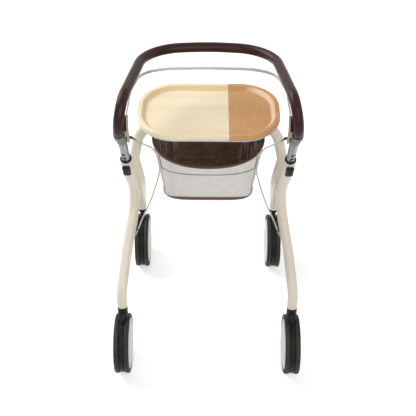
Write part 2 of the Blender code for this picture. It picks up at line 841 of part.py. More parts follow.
def fork_blade(name, crown, crown_radius, crown_height, axle, depth):
    """The wedge from a round crown down to the disc that fills the space between tyres."""
    neck = WHEEL_DIAMETER + FORK_NECK_ABOVE_WHEEL
    half_width = DISC_WIDTH / 2
    root = WHEEL_RADIUS + DISC_RADIUS * 0.45
    middle = (axle.x, (crown.y + axle.y) / 2)
    rings = [
        ring_about(middle, half_width, depth / 2, root),
        ring_about(middle, half_width, depth / 2, neck),
        ring_about(crown, crown_radius, crown_radius, crown_height),
    ]
    return loft(name, rings, origin=crown)


def fork_disc(name, axle):
    """The disc between the twin tyres, with a recess for each drum and the axle bore."""
    half = Vector((DISC_WIDTH / 2, 0, 0))
    disc = rod(name, axle - half, axle + half, DISC_RADIUS, DISC_STEPS)
    for direction in (-1, 1):
        face = axle + half * direction * 1.2
        floor = axle + half * direction - Vector((DRUM_RECESS * direction, 0, 0))
        recess = rod(name + "_recess", face, floor, DRUM_DIAMETER / 2 + 0.0025, 20)
        boolean(disc, recess)
    bore = rod(name + "_axle_bore", axle - half, axle + half, AXLE_DIAMETER / 2 + FIT_GAP)
    boolean(disc, bore)
    return disc


def build_rear_fork(side, name, body):
    """The rigid rear fork: a plug in the leg, a round socket, a wedge and the disc."""
    axle = Vector((REAR_TRACK / 2 * side, REAR_AXLE_Y, WHEEL_RADIUS))
    foot = rear_leg_path(side)[0]
    top = foot.z - FIT_GAP
    fork = baked(fork_disc("rear_fork_" + name, axle))
    crown_bottom = foot.z - FORK_SOCKET_LENGTH
    blade = fork_blade(fork.name + "_blade", foot, TUBE_RADIUS, crown_bottom, axle, REAR_BLADE_DEPTH)
    boolean(fork, blade, "UNION")
    low = Vector((foot.x, foot.y, crown_bottom - 0.001))
    high = Vector((foot.x, foot.y, top))
    boolean(fork, rod(fork.name + "_socket", low, high, TUBE_RADIUS, 16), "UNION")
    inside = Vector((foot.x, foot.y, top + PLUG_LENGTH))
    boolean(fork, rod(fork.name + "_plug", low, inside, PLUG_RADIUS, 16), "UNION")
    cable = [p for p in cable_path(side) if p.z < REAR_FOOT_HEIGHT + 0.060]
    cutter = baked(tube_curve(fork.name + "_cable_bore", cable, CABLE_DIAMETER / 2 + FIT_GAP, 8))
    boolean(fork, cutter)
    slide = shoe_direction()
    turn = Vector((0, 0, 1)).rotation_difference(slide).to_matrix()
    low_radius = DRUM_DIAMETER / 2 - SHOE_TRAVEL - FIT_GAP
    high_radius = shoe_top_radius() + 0.0015
    centre = axle + slide * (low_radius + high_radius) / 2
    slot_size = (DISC_WIDTH * 1.5, SHOE_WIDTH + 2 * FIT_GAP, high_radius - low_radius)
    boolean(fork, box(fork.name + "_slot", slot_size, centre, turn))
    finish_part(fork, "black_plastic", body)


def build_brake_shoe(side, name, body):
    """A block that presses on both drums of a rear wheel pair."""
    axle = Vector((REAR_TRACK / 2 * side, REAR_AXLE_Y, WHEEL_RADIUS))
    slide = shoe_direction()
    turn = Vector((0, 0, 1)).rotation_difference(slide).to_matrix()
    low = DRUM_DIAMETER / 2 - 0.001
    high = shoe_top_radius()
    centre = axle + slide * (low + high) / 2
    thickness = DISC_WIDTH - 2 * SHOE_SIDE_GAP
    shoe = box("brake_shoe_" + name, (thickness, SHOE_WIDTH, high - low), centre, turn)
    half = Vector((thickness, 0, 0))
    hollow = rod(shoe.name + "_hollow", axle - half, axle + half, shoe_face_radius(), 32)
    boolean(shoe, hollow)
    finish_part(shoe, "grey_plastic", body)


def build_caster_socket(side, name, body):
    """The plug in a front leg's end that the caster stem turns in."""
    bore = STEM_DIAMETER / 2 + FIT_GAP
    plug = PLUG_LENGTH
    profile = [
        (bore, plug),
        (PLUG_RADIUS, plug),
        (PLUG_RADIUS, 0),
        (TUBE_RADIUS, 0),
        (TUBE_RADIUS, -SOCKET_FLANGE),
        (bore, -SOCKET_FLANGE),
    ]
    foot = front_leg_path(side)[0]
    base = foot - Vector((0, 0, FIT_GAP))
    socket = turned("caster_socket_" + name, profile, base, (0, 0, 1), 16)
    finish_part(socket, "black_plastic", body)


def build_caster_fork(side, name, body):
    """The swivel fork: stem, crown flange, wedge and disc."""
    axle = Vector((FRONT_TRACK / 2 * side, FRONT_AXLE_Y, WHEEL_RADIUS))
    crown_top = FRONT_FOOT_HEIGHT - SOCKET_FLANGE - 2 * FIT_GAP
    crown_bottom = crown_top - CROWN_HEIGHT
    stem = Vector((axle.x, STEM_Y, crown_top))
    fork = baked(fork_disc("caster_fork_" + name, axle))
    crown_radius = TUBE_RADIUS - 0.0015
    blade = fork_blade(fork.name + "_blade", stem, crown_radius, crown_bottom, axle, FRONT_BLADE_DEPTH)
    boolean(fork, blade, "UNION")
    low = Vector((stem.x, stem.y, crown_bottom - 0.001))
    boolean(fork, rod(fork.name + "_crown", low, stem, crown_radius, 16), "UNION")
    top = stem + Vector((0, 0, STEM_LENGTH))
    boolean(fork, rod(fork.name + "_stem", low, top, STEM_DIAMETER / 2, 16), "UNION")
    finish_part(fork, "black_plastic", body)


def build_axle(name, x, y, body):
    """An axle through a fork's disc, long enough for the two hubs."""
    half = TWIN_SPACE / 2 + TYRE_WIDTH - 0.0013
    start = Vector((x - half, y, WHEEL_RADIUS))
    end = Vector((x + half, y, WHEEL_RADIUS))
    axle = rod(name, start, end, AXLE_DIAMETER / 2, 12)
    finish_part(axle, "steel", body)


def build_wheel(name, centre, outward, body):
    """One wheel of a twin pair: a white rim with its drum, and a tyre on it.

    Heights run along the axle, from the face beside the fork disc outwards.
    """
    bore = AXLE_DIAMETER / 2 + FIT_GAP
    drum_end = -TWIN_SPACE / 2 + DISC_WIDTH / 2 - DRUM_RECESS + 0.0005
    rim_profile = [
        (0, TYRE_WIDTH + CAP_RISE),
        (0.040, TYRE_WIDTH + CAP_RISE * 0.7),
        (RIM_RADIUS - 0.001, TYRE_WIDTH - 0.0005),
        (RIM_RADIUS, 0.001),
        (RIM_RADIUS - 0.005, 0.001),
        (RIM_RADIUS - 0.007, TYRE_WIDTH - 0.003),
        (DRUM_DIAMETER / 2, TYRE_WIDTH - 0.003),
        (DRUM_DIAMETER / 2, drum_end),
        (bore, drum_end),
        (bore, TYRE_WIDTH - 0.001),
        (0, TYRE_WIDTH - 0.001),
    ]
    rim = turned("rim_" + name, rim_profile, centre, (outward, 0, 0), RIM_STEPS)
    finish_part(rim, "white_plastic", body)
    seat = RIM_RADIUS + TYRE_SEAT_GAP
    shoulder = WHEEL_RADIUS - 0.0065
    middle = TYRE_WIDTH / 2
    tyre_profile = [
        (seat, TYRE_WIDTH - 0.0004),
        (shoulder, TYRE_WIDTH),
        (WHEEL_RADIUS, middle + 0.004),
        (WHEEL_RADIUS, middle - 0.004),
        (shoulder, 0),
        (seat, 0.0004),
    ]
    tyre = turned("tyre_" + name, tyre_profile, centre, (outward, 0, 0), TYRE_STEPS)
    finish_part(tyre, "tyre_rubber", body)


def build_wheels():
    """Eight wheels on their four axles, each free to turn by itself."""
    for place, track, y in (("rear", REAR_TRACK, REAR_AXLE_Y), ("front", FRONT_TRACK, FRONT_AXLE_Y)):
        for name, side in SIDES.items():
            carrier = BODIES["rear_frame"]
            if place == "front":
                carrier = BODIES["caster_" + name]
            build_axle(place + "_axle_" + name, track / 2 * side, y, carrier)
            for where, outward in (("inner", -side), ("outer", side)):
                x = track / 2 * side + TWIN_SPACE / 2 * outward
                centre = Vector((x, y, WHEEL_RADIUS))
                wheel_name = place + "_" + name + "_" + where
                carrier_empty = empty("wheel_" + wheel_name, centre)
                build_wheel(wheel_name, centre, outward, carrier_empty)


def build_guide_bush(side, name, body):
    """The black ring at the leg's mouth, with a sleeve that guides the post."""
    inner = around(POST_RADIUS)
    profile = [
        (inner, 0),
        (RING_DIAMETER / 2 - 0.0008, 0),
        (RING_DIAMETER / 2, -0.0010),
        (RING_DIAMETER / 2, -RING_HEIGHT),
        (PLUG_RADIUS, -RING_HEIGHT),
        (PLUG_RADIUS, -BUSH_LENGTH),
        (inner, -BUSH_LENGTH),
    ]
    bush = turned("guide_bush_" + name, profile, on_post(0, side=side), POST_UP, TURN_STEPS)
    finish_part(bush, "black_plastic", body)


def build_collar(side, name, body):
    """The cream collar round the leg's top, with the boss that the lever turns on."""
    inner = around(TUBE_RADIUS)
    outer = inner + COLLAR_WALL
    top = -RING_HEIGHT - FIT_GAP - 0.0005
    profile = [
        (inner, top),
        (outer - 0.0006, top),
        (outer, top - 0.0010),
        (outer, top - COLLAR_LENGTH),
        (inner, top - COLLAR_LENGTH),
    ]
    collar = turned("post_collar_" + name, profile, on_post(0, side=side), POST_UP, TURN_STEPS)
    collar = baked(collar)
    pivot = lever_pivot(side)
    root = on_post(-LEVER_PIVOT_DROP, inner + COLLAR_WALL / 2, side)
    boss = stadium(collar.name + "_boss", pivot, root, BOSS_RADIUS, BOSS_WIDTH, 12)
    inside = rod(
        collar.name + "_clear",
        on_post(-LEVER_PIVOT_DROP - 0.02, side=side),
        on_post(-LEVER_PIVOT_DROP + 0.02, side=side),
        inner,
        TURN_STEPS,
    )
    boolean(collar, boss, "UNION")
    boolean(collar, inside)
    half = Vector((BOSS_WIDTH, 0, 0))
    bore = rod(collar.name + "_bore", pivot - half, pivot + half, LEVER_PIN_DIAMETER / 2 + FIT_GAP, 12)
    boolean(collar, bore)
    finish_part(collar, "cream_paint", body)


def lever_pivot(side):
    """The pin that a height lever turns on, at half the lever's thickness."""
    out = around(TUBE_RADIUS) + COLLAR_WALL + FIT_GAP + LEVER_THICKNESS / 2
    return on_post(-LEVER_PIVOT_DROP, out, side)


def build_height_lever(side, name, body):
    """The black cam lever that clamps the post: two cheeks, a pin and a thumb end."""
    pivot = lever_pivot(side)
    tip = pivot - POST_UP * (LEVER_LENGTH - LEVER_THICKNESS)
    radius = LEVER_THICKNESS / 2 - 0.0001
    lever = stadium("height_lever_" + name, pivot, tip, radius, LEVER_WIDTH, 12)
    turn = Matrix.Rotation(POST_LEAN, 3, "X")
    room = BOSS_RADIUS + RUNNING_GAP
    slot_size = (BOSS_WIDTH + 2 * RUNNING_GAP, LEVER_THICKNESS, LEVER_THICKNESS)
    shift = LEVER_THICKNESS / 2 - room
    centre = pivot + POST_UP * shift - POST_FRONT * shift
    boolean(lever, box(lever.name + "_slot", slot_size, centre, turn))
    half = Vector((BOSS_WIDTH / 2 + 0.003, 0, 0))
    pin = rod(lever.name + "_pin", pivot - half, pivot + half, LEVER_PIN_DIAMETER / 2, 12)
    boolean(lever, pin, "UNION")
    finish_part(lever, "black_plastic", body)


def build_post(side, name, body):
    """The silver tube that slides in the leg."""
    outer = POST_RADIUS
    inner = POST_RADIUS - POST_WALL
    top = ELBOW_UP - ELBOW_LENGTH / 2 - FIT_GAP
    profile = [(inner, top), (outer, top), (outer, -POST_BELOW_COLLAR), (inner, -POST_BELOW_COLLAR)]
    post = turned("post_" + name, profile, on_post(0, side=side), POST_UP, TURN_STEPS)
    finish_part(post, "silver_aluminium", body)


def build_connector(side, name, body):
    """The grey sleeve that joins post and handle, with the pin that its blade turns on."""
    outer = CONNECTOR_DIAMETER / 2
    low = ELBOW_UP - ELBOW_LENGTH / 2
    high = ELBOW_UP + ELBOW_LENGTH / 2
    tilt = on_handle_end(CONNECTOR_TOP, side) - on_handle_end(high, side)
    sections = [
        (on_post(CONNECTOR_BOTTOM, side=side), POST_UP, outer - 0.0008),
        (on_post(CONNECTOR_BOTTOM + 0.006, side=side), POST_UP, outer),
        (on_post(low, side=side), POST_UP, outer),
        (on_handle_end(high, side), tilt, outer),
        (on_handle_end(CONNECTOR_TOP, side), tilt, outer),
    ]
    rings = [disc_ring(centre, axis, radius, TURN_STEPS) for centre, axis, radius in sections]
    sleeve = loft("connector_" + name, rings, origin=sections[0][0])
    past = Vector(POST_UP) * FIT_GAP * 4
    below = on_post(CONNECTOR_BOTTOM, side=side) - past
    above = on_handle_end(CONNECTOR_TOP, side) + past
    post_bore = around(POST_RADIUS)
    post_end = on_post(low, side=side)
    boolean(sleeve, rod(sleeve.name + "_post_bore", below, post_end, post_bore, TURN_STEPS))
    tube_bore = around(HANDLE_TUBE_DIAMETER / 2)
    tube_end = on_handle_end(high, side)
    boolean(sleeve, rod(sleeve.name + "_tube_bore", tube_end, above, tube_bore, TURN_STEPS))
    pivot = blade_pivot(side)
    wall = Vector((side * (POST_X - outer + 0.0012), pivot.y, pivot.z))
    end = Vector((pivot.x - side * (BLADE_THICKNESS / 2 + 0.0012), pivot.y, pivot.z))
    boolean(sleeve, rod(sleeve.name + "_pin", wall, end, BLADE_PIN_DIAMETER / 2, 12), "UNION")
    finish_part(sleeve, "grey_plastic", body)


def build_handle(body):
    """The U-shaped handle: an inner tube and the leather sleeve sewn round it."""
    depth = CONNECTOR_TOP - ELBOW_UP - ELBOW_LENGTH / 2
    core = tube_curve("handle_tube", handle_path(depth), HANDLE_TUBE_DIAMETER / 2, HANDLE_SIDES)
    finish_part(core, "silver_aluminium", body)
    sleeve = pipe("handle_leather", handle_path(), GRIP_RADIUS, LEATHER_THICKNESS, HANDLE_SIDES)
    finish_part(sleeve, "brown_leather", body)


def build_adjuster(side, name, body):
    """The two-part barrel that tightens a cable."""
    start, end = adjuster_ends(side)
    length = (end - start).length
    wide = ADJUSTER_DIAMETER / 2
    profile = [
        (0, length),
        (wide * 0.75, length),
        (wide * 0.75, length * 0.52),
        (wide, length * 0.48),
        (wide, length * 0.05),
        (wide * 0.8, 0),
        (0, 0),
    ]
    barrel = turned("cable_adjuster_" + name, profile, start, end - start, 12)
    finish_part(barrel, "brass_brown", body)


def build_brake_bar(body):
    """The flat U bar under the handle that the user pulls up."""
    end_x = POST_X - CONNECTOR_DIAMETER / 2 + BAR_THICKNESS / 2
    left = [
        Vector((-end_x, BAR_END_Y, BAR_END_HEIGHT)),
        Vector((-BAR_BULGE_SPREAD / 2, BAR_BULGE_Y, BAR_BULGE_HEIGHT)),
        Vector((-BAR_CORNER_SPREAD / 2, BAR_CORNER_Y, BAR_CORNER_HEIGHT)),
    ]
    corners = left + [mirror_x(point, -1) for point in reversed(left)]
    radii = [BAR_BULGE_RADIUS, BAR_CORNER_RADIUS]
    path = rounded_path(corners, radii + radii[::-1])
    bar = flat_bar("brake_bar", path, BAR_HEIGHT, BAR_THICKNESS, body.location)
    finish_part(bar, "silver_aluminium", body)


def build_brake_blade(side, name, body):
    """The taupe blade beside the grip that carries an end of the bar."""
    pivot = blade_pivot(side)
    tip = Vector((pivot.x, BLADE_TIP_Y, BLADE_TIP_HEIGHT))
    middle = Vector((pivot.x, pivot.y - 0.009, (pivot.z + tip.z) / 2))
    path = smooth_path([pivot, middle, tip], 0.012)
    radius = BLADE_WIDTH / 2
    outline = []
    back = []
    for before, point, after in zip([path[0]] + path, path, path[1:] + [path[-1]]):
        along = (after - before).normalized()
        across = Vector((1, 0, 0)).cross(along) * radius
        outline.append(point + across)
        back.append(point - across)
    start_along = (path[1] - path[0]).normalized()
    end_along = (path[-1] - path[-2]).normalized()
    cap = [path[-1] + turn_about_x(end_along, angle) * radius for angle in (50, 0, -50)]
    foot = [path[0] - turn_about_x(start_along, angle) * radius for angle in (50, 0, -50)]
    outline = outline + cap + back[::-1] + foot
    half = Vector((BLADE_THICKNESS / 2, 0, 0))
    rings = [[p - half for p in outline], [p + half for p in outline]]
    blade = loft("brake_blade_" + name, rings, origin=pivot)
    wide = Vector((BLADE_THICKNESS, 0, 0))
    bore = rod(blade.name + "_bore", pivot - wide, pivot + wide, BLADE_PIN_DIAMETER / 2 + FIT_GAP, 16)
    boolean(blade, bore)
    finish_part(blade, "taupe_plastic", body)


def turn_about_x(direction, degrees):
    """A direction in side view, turned about X."""
    return Matrix.Rotation(math.radians(degrees), 3, "X") @ direction


def build_tray(body):
    """A birch tray with a cork end, both on a grey pan that saddles the cross tube."""
    lip = TRAY_LIP_WIDTH
    slope = TRAY_LIP_WIDTH + TRAY_SLOPE_WIDTH
    floor = TRAY_FLOOR_HEIGHT + TRAY_FLOOR
    heights_and_insets = [
        (TRAY_FLOOR_HEIGHT, 0.001),
        (TRAY_FLOOR_HEIGHT + 0.002, 0.0),
        (TRAY_TOP_HEIGHT - 0.0015, 0.0),
        (TRAY_TOP_HEIGHT, 0.0015),
        (TRAY_TOP_HEIGHT, lip),
        (floor, slope),
    ]
    rings = [tray_outline(height, inset) for height, inset in heights_and_insets]
    for name, finish, start, end in (
        ("tray_board", "birch", -TRAY_WIDTH, CORK_FROM_X - FIT_GAP / 2),
        ("tray_cork", "cork", CORK_FROM_X + FIT_GAP / 2, TRAY_WIDTH),
    ):
        board = loft(name, rings, origin=body.location)
        size = (end - start, TRAY_DEPTH * 2, TRAY_THICKNESS * 4)
        keep = box(name + "_keep", size, ((start + end) / 2, TRAY_Y, TRAY_TOP_HEIGHT))
        boolean(board, keep, "INTERSECT")
        finish_part(board, finish, body)
    pan_rings = [tray_outline(PAN_HEIGHT, 0.004), tray_outline(PAN_TOP_HEIGHT, 0.001)]
    pan = loft("tray_pan", pan_rings, origin=body.location)
    bottom = FRONT_TOP_HEIGHT + TUBE_RADIUS - SADDLE_WRAP
    height = PAN_HEIGHT + 0.002 - bottom
    for direction in (-1, 1):
        centre = Vector((SADDLE_SPACING / 2 * direction, FRONT_TOP_Y, bottom + height / 2))
        saddle = box("saddle", (SADDLE_LENGTH, SADDLE_DEPTH, height), centre)
        boolean(pan, saddle, "UNION")
    start = Vector((-TRAY_WIDTH, FRONT_TOP_Y, FRONT_TOP_HEIGHT))
    end = Vector((TRAY_WIDTH, FRONT_TOP_Y, FRONT_TOP_HEIGHT))
    boolean(pan, rod("saddle_hollow", start, end, TUBE_RADIUS + FIT_GAP, 32))
    finish_part(pan, "pan_grey", body)


def basket_ring(share, height, inset=0.0):
    """Outline of the bag, from the floor's rounded box (0) to the rim's oval (1)."""
    floor = (BASKET_FLOOR_WIDTH, BASKET_FLOOR_DEPTH, BASKET_FLOOR_ROUNDNESS, BASKET_FLOOR_Y)
    rim = (BASKET_WIDTH, BASKET_DEPTH, BASKET_ROUNDNESS, BASKET_Y)
    low = oval(*floor, height, BASKET_STEPS, inset)
    high = oval(*rim, height, BASKET_STEPS, inset)
    return [first.lerp(second, share) for first, second in zip(low, high)]


def build_basket(body):
    """A rim wire on two brackets, the fabric bag under it and a brown base."""
    rim_radius = BASKET_RIM_DIAMETER / 2
    rim = basket_ring(1, BASKET_RIM_HEIGHT)
    wire = tube_curve("basket_rim", rim, rim_radius, 8, False, body.location)
    wire.data.splines[0].use_cyclic_u = True
    wire = baked(wire)
    for side in (-1, 1):
        inner = BASKET_WIDTH / 2
        level = Vector((0, FRONT_TOP_Y, BASKET_RIM_HEIGHT))
        outer = abs(nearest_on_path(front_leg_path(side), level).x)
        centre = Vector((side * (inner + outer) / 2, FRONT_TOP_Y, BASKET_RIM_HEIGHT))
        bracket = box("basket_bracket", (outer - inner, BRACKET_LENGTH, BRACKET_HEIGHT), centre)
        boolean(wire, bracket, "UNION")
    for side in (-1, 1):
        hollow = baked(
            tube_curve("bracket_hollow", front_leg_path(side), around(TUBE_RADIUS), TURN_STEPS)
        )
        boolean(wire, hollow)
    finish_part(wire, "brown_trim", body)
    top = BASKET_RIM_HEIGHT - rim_radius - FIT_GAP
    bottom = BASKET_FLOOR_HEIGHT
    rings = []
    for index in range(5):
        level = index / 4
        rings.append(basket_ring(level ** BASKET_BULGE, bottom + (top - bottom) * level))
    bag = loft("basket_bag", rings, close_end=False, origin=body.location)
    wall = bag.modifiers.new("Wall", "SOLIDIFY")
    wall.thickness = BASKET_WALL
    wall.offset = -1
    wall.use_even_offset = True
    finish_part(bag, "greige_fabric", body)
    base_top = bottom - FIT_GAP
    base_bottom = base_top - BASKET_BASE_THICKNESS
    base_rings = [
        basket_ring(0, base_bottom, BASKET_BASE_DRAFT),
        basket_ring(0, base_bottom + BASKET_BASE_THICKNESS / 2, BASKET_BASE_DRAFT / 4),
        basket_ring(0, base_top),
    ]
    base = loft("basket_base", base_rings, origin=body.location)
    finish_part(base, "brown_trim", body)


def build_cable(side, name, body):
    """One brake cable in its jacket."""
    path = cable_path(side)
    cable = tube_curve("brake_cable_" + name, path, CABLE_DIAMETER / 2, 8)
    finish_part(cable, "cable_jacket", body)
    print(cable.name, "is", round(path_length(path), 3), "m long")


def build_bodies():
    """One empty for each body that moves, on the axis of its joint."""
    bodies = {
        "rear_frame": empty("rear_frame", (0, 0, 0)),
        "front_frame": empty("front_frame", pivot_point(1)),
        "tray": empty("tray", (0, TRAY_Y, PAN_HEIGHT)),
        "handle": empty("handle", on_post(0, side=0)),
        "brake_bar": empty("brake_bar_pivot", (0, blade_pivot(1).y, blade_pivot(1).z)),
    }
    for name, side in SIDES.items():
        bodies["lever_" + name] = empty("lever_pivot_" + name, lever_pivot(side))
        stem = (FRONT_TRACK / 2 * side, STEM_Y, FRONT_FOOT_HEIGHT)
        bodies["caster_" + name] = empty("caster_swivel_" + name, stem)
        axle = (REAR_TRACK / 2 * side, REAR_AXLE_Y, WHEEL_RADIUS)
        bodies["shoe_" + name] = empty("shoe_slide_" + name, axle)
    return bodies


def build_sides():
    """Everything that the rollator has on its left and its right."""
    for name, side in SIDES.items():
        rear = BODIES["rear_frame"]
        front = BODIES["front_frame"]
        handle = BODIES["handle"]
        build_rear_leg(side, name, rear)
        build_guide_bush(side, name, rear)
        build_collar(side, name, rear)
        build_rear_fork(side, name, rear)
        build_fold_pin(side, name, rear)
        build_cable(side, name, rear)
        build_brake_shoe(side, name, BODIES["shoe_" + name])
        build_front_leg(side, name, front)
        build_caster_socket(side, name, front)
        build_caster_fork(side, name, BODIES["caster_" + name])
        build_height_lever(side, name, BODIES["lever_" + name])
        build_post(side, name, handle)
        build_connector(side, name, handle)
        build_adjuster(side, name, handle)
        build_brake_blade(side, name, BODIES["brake_bar"])


clear_scene()
PARTS = make_collection("rollator")
CUTTERS = make_collection("cutters")
BODIES = build_bodies()
build_sides()
build_wheels()
build_cross_tube(BODIES["front_frame"])
build_basket(BODIES["front_frame"])
build_tray(BODIES["tray"])
build_handle(BODIES["handle"])
build_brake_bar(BODIES["brake_bar"])
print("parts:", len(PARTS.objects))
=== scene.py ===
# %% [markdown]
# # A folding indoor rollator, dressed on its imported frame
#
# The imported model gives every piece its place and its motion. This lesson builds the finer
# surfaces round it: leather, cloth, wood, cork, paint and rubber.
# The frame is loaded first.

# %% Load the frame
import math

import bmesh
import bpy
import numpy as np
from mathutils import Matrix


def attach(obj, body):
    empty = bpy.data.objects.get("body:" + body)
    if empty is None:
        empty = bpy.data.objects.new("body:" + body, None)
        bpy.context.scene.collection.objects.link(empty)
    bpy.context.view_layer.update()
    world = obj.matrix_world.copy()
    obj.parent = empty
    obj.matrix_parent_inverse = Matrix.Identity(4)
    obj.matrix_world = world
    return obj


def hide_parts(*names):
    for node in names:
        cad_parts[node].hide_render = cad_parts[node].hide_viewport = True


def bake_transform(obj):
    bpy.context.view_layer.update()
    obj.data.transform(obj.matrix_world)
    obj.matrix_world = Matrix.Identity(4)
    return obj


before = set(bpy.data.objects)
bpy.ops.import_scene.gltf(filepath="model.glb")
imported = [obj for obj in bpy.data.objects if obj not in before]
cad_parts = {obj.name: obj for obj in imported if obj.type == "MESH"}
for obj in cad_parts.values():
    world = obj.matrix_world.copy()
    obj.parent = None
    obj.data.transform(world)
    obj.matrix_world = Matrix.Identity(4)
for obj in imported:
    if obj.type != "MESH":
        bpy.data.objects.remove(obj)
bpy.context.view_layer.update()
SIDES = {"left": -1, "right": 1}
X_AXIS = np.array([1.0, 0.0, 0.0])
Y_AXIS = np.array([0.0, 1.0, 0.0])
Z_AXIS = np.array([0.0, 0.0, 1.0])

# %% [markdown]
# ## Lines that pieces follow
#
# A bent tube is a row of straight runs joined by arcs, so one function rounds the corners of a
# path. It works in two dimensions too, where it rounds the profile of a turned piece.
# A cable is different: it has no straight runs, so a smooth curve through its points suits it.

# %% Paths and profiles
SMALLEST_ARC = 1e-7
NEARLY_STRAIGHT = math.pi / 2 - 1e-4


def unit(rows):
    """Each direction divided by its own length."""
    rows = np.asarray(rows, float)
    return rows / np.linalg.norm(rows, axis=-1, keepdims=True)


def full_turn(count):
    """Equal angles round a whole turn: 2 pi k / count."""
    return np.linspace(0, 2 * math.pi, count, endpoint=False)


def rounded_path(corners, radii, turn_step=4.0, closed=False, share=1.0):
    """Straight runs joined by arcs.

    Each arc's centre lies on the line that halves its corner, radius / sin(half the opening)
    away. share limits how much of a neighbouring run an arc may use.
    """
    corners = np.asarray(corners, float)
    triples = np.stack([np.roll(corners, k, axis=0) for k in (1, 0, -1)], axis=1)
    triples = triples if closed else triples[1:-1]
    points = [] if closed else [corners[:1]]
    for (before, corner, after), radius in zip(triples, np.broadcast_to(radii, len(triples))):
        back, ahead = unit([before - corner, after - corner])
        half = math.acos(np.clip(back @ ahead, -1, 1)) / 2
        room = share * min(np.linalg.norm(before - corner), np.linalg.norm(after - corner))
        reach = min(radius / math.tan(half), room)
        if half > NEARLY_STRAIGHT or reach < SMALLEST_ARC:
            points.append(corner[None])
            continue
        turn = math.pi - 2 * half
        centre = corner + unit(back + ahead) * reach / math.cos(half)
        start = corner + back * reach - centre
        end = corner + ahead * reach - centre
        steps = max(3, math.ceil(math.degrees(turn) / turn_step))
        at = np.linspace(0, 1, steps + 1)[:, None] * turn
        points.append(centre + (start * np.sin(turn - at) + end * np.sin(at)) / math.sin(turn))
    return np.concatenate(points if closed else points + [corners[-1:]])


def even_steps(path, step):
    """Points at equal distances along a path, read off by linear interpolation."""
    run = np.concatenate([[0], np.cumsum(np.linalg.norm(np.diff(path, axis=0), axis=1))])
    at = np.linspace(0, run[-1], max(2, round(run[-1] / step) + 1))
    return np.stack([np.interp(at, run, column) for column in path.T], axis=1)


def smooth_curve(points, steps=12):
    """A cubic between each two points whose slope at a point follows its two neighbours."""
    points = np.asarray(points, float)
    padded = np.concatenate([[2 * points[0] - points[1]], points, [2 * points[-1] - points[-2]]])
    p0, p1, p2, p3 = (padded[k:len(padded) - 3 + k, None] for k in range(4))
    t = np.linspace(0, 1, steps, endpoint=False)[None, :, None]
    curve = 2 * p1 + (p2 - p0) * t
    curve = curve + (2 * p0 - 5 * p1 + 4 * p2 - p3) * t ** 2
    curve = (curve + (3 * p1 - p0 - 3 * p2 + p3) * t ** 3) / 2
    return np.concatenate([curve.reshape(-1, 3), points[-1:]])


def both_halves(half, front):
    """A path from left to right: the left half, the front point, and the half mirrored in X."""
    half = np.array(half)
    return np.concatenate([half, [front], half[::-1] * (-1, 1, 1)])


def length_of(path):
    """Length of a path in metres, rounded to millimetres."""
    return round(float(np.linalg.norm(np.diff(path, axis=0), axis=1).sum()), 3)


print("test corner:", len(rounded_path([(0, 0, 0), (1, 0, 0), (1, 1, 0)], 0.2)), "points")

# %% [markdown]
# ## Surfaces from grids
#
# Every new piece is a grid of points: rows run along the piece and columns run round it.
# A sweep carries a section along a path, and a turned piece carries a profile round an axis.
# Both only work out arrays, and one function turns any grid into a closed, shaded mesh with a
# UV map in metres, so that weave and stitches have their real size.

# %% Sections, sweeps and turned grids


def circle(radius, count=40):
    """A round section: radius * (cos a, sin a)."""
    return radius * np.stack([np.cos(full_turn(count)), np.sin(full_turn(count))], axis=1)


def oblong(width, height, radius):
    """A rectangular section with round corners."""
    corners = np.array([(1, -1), (1, 1), (-1, 1), (-1, -1)]) * (width / 2, height / 2)
    return rounded_path(corners, radius, 18, closed=True, share=0.49)


def sweep(path, section, across=X_AXIS):
    """Grid: point + side * first + up * second, with side and up carried along without twist."""
    along = unit(np.gradient(path, axis=0))
    side = across
    sides = []
    for direction in along:
        side = unit(side - direction * (side @ direction))
        sides.append(side)
    sides = np.array(sides)[:, None]
    return path[:, None] + sides * section[:, :1] + np.cross(along[:, None], sides) * section[:, 1:]


def turned(profile, base, axis, steps=64):
    """Grid: base + axis * height + (first * cos a + second * sin a) * radius."""
    profile = np.asarray(profile, float)
    axis = unit(axis)
    first = unit(np.cross(axis, Z_AXIS if abs(axis[2]) < 0.9 else X_AXIS))
    angle = full_turn(steps)[None, :, None]
    spoke = first * np.cos(angle) + np.cross(axis, first) * np.sin(angle)
    return np.asarray(base, float) + axis * profile[:, 1, None, None] + spoke * profile[:, :1, None]


def soft_profile(corners, radius, closed=True):
    """Profile corners rounded by a radius, but never by more than its runs have room for."""
    return rounded_path(corners, radius, 12, closed=closed, share=0.45)


print("a 30 mm tube has", len(circle(0.015)), "sides")

# %% From a grid to a mesh
SHARP_EDGE = math.radians(40)
MERGE = 1e-6


def volume_of(grid, quads, ends):
    """Six times the volume: the sum of a . (b x c) over all triangles."""
    points = grid.reshape(-1, 3) - grid.mean(axis=(0, 1))
    a, b, c, d = (points[quads[:, k]] for k in range(4))
    volume = (a * (np.cross(b, c) + np.cross(c, d))).sum()
    for ring in (points[end] for end in ends):
        volume += (ring[0] * np.cross(ring[1:-1], ring[2:])).sum()
    return volume


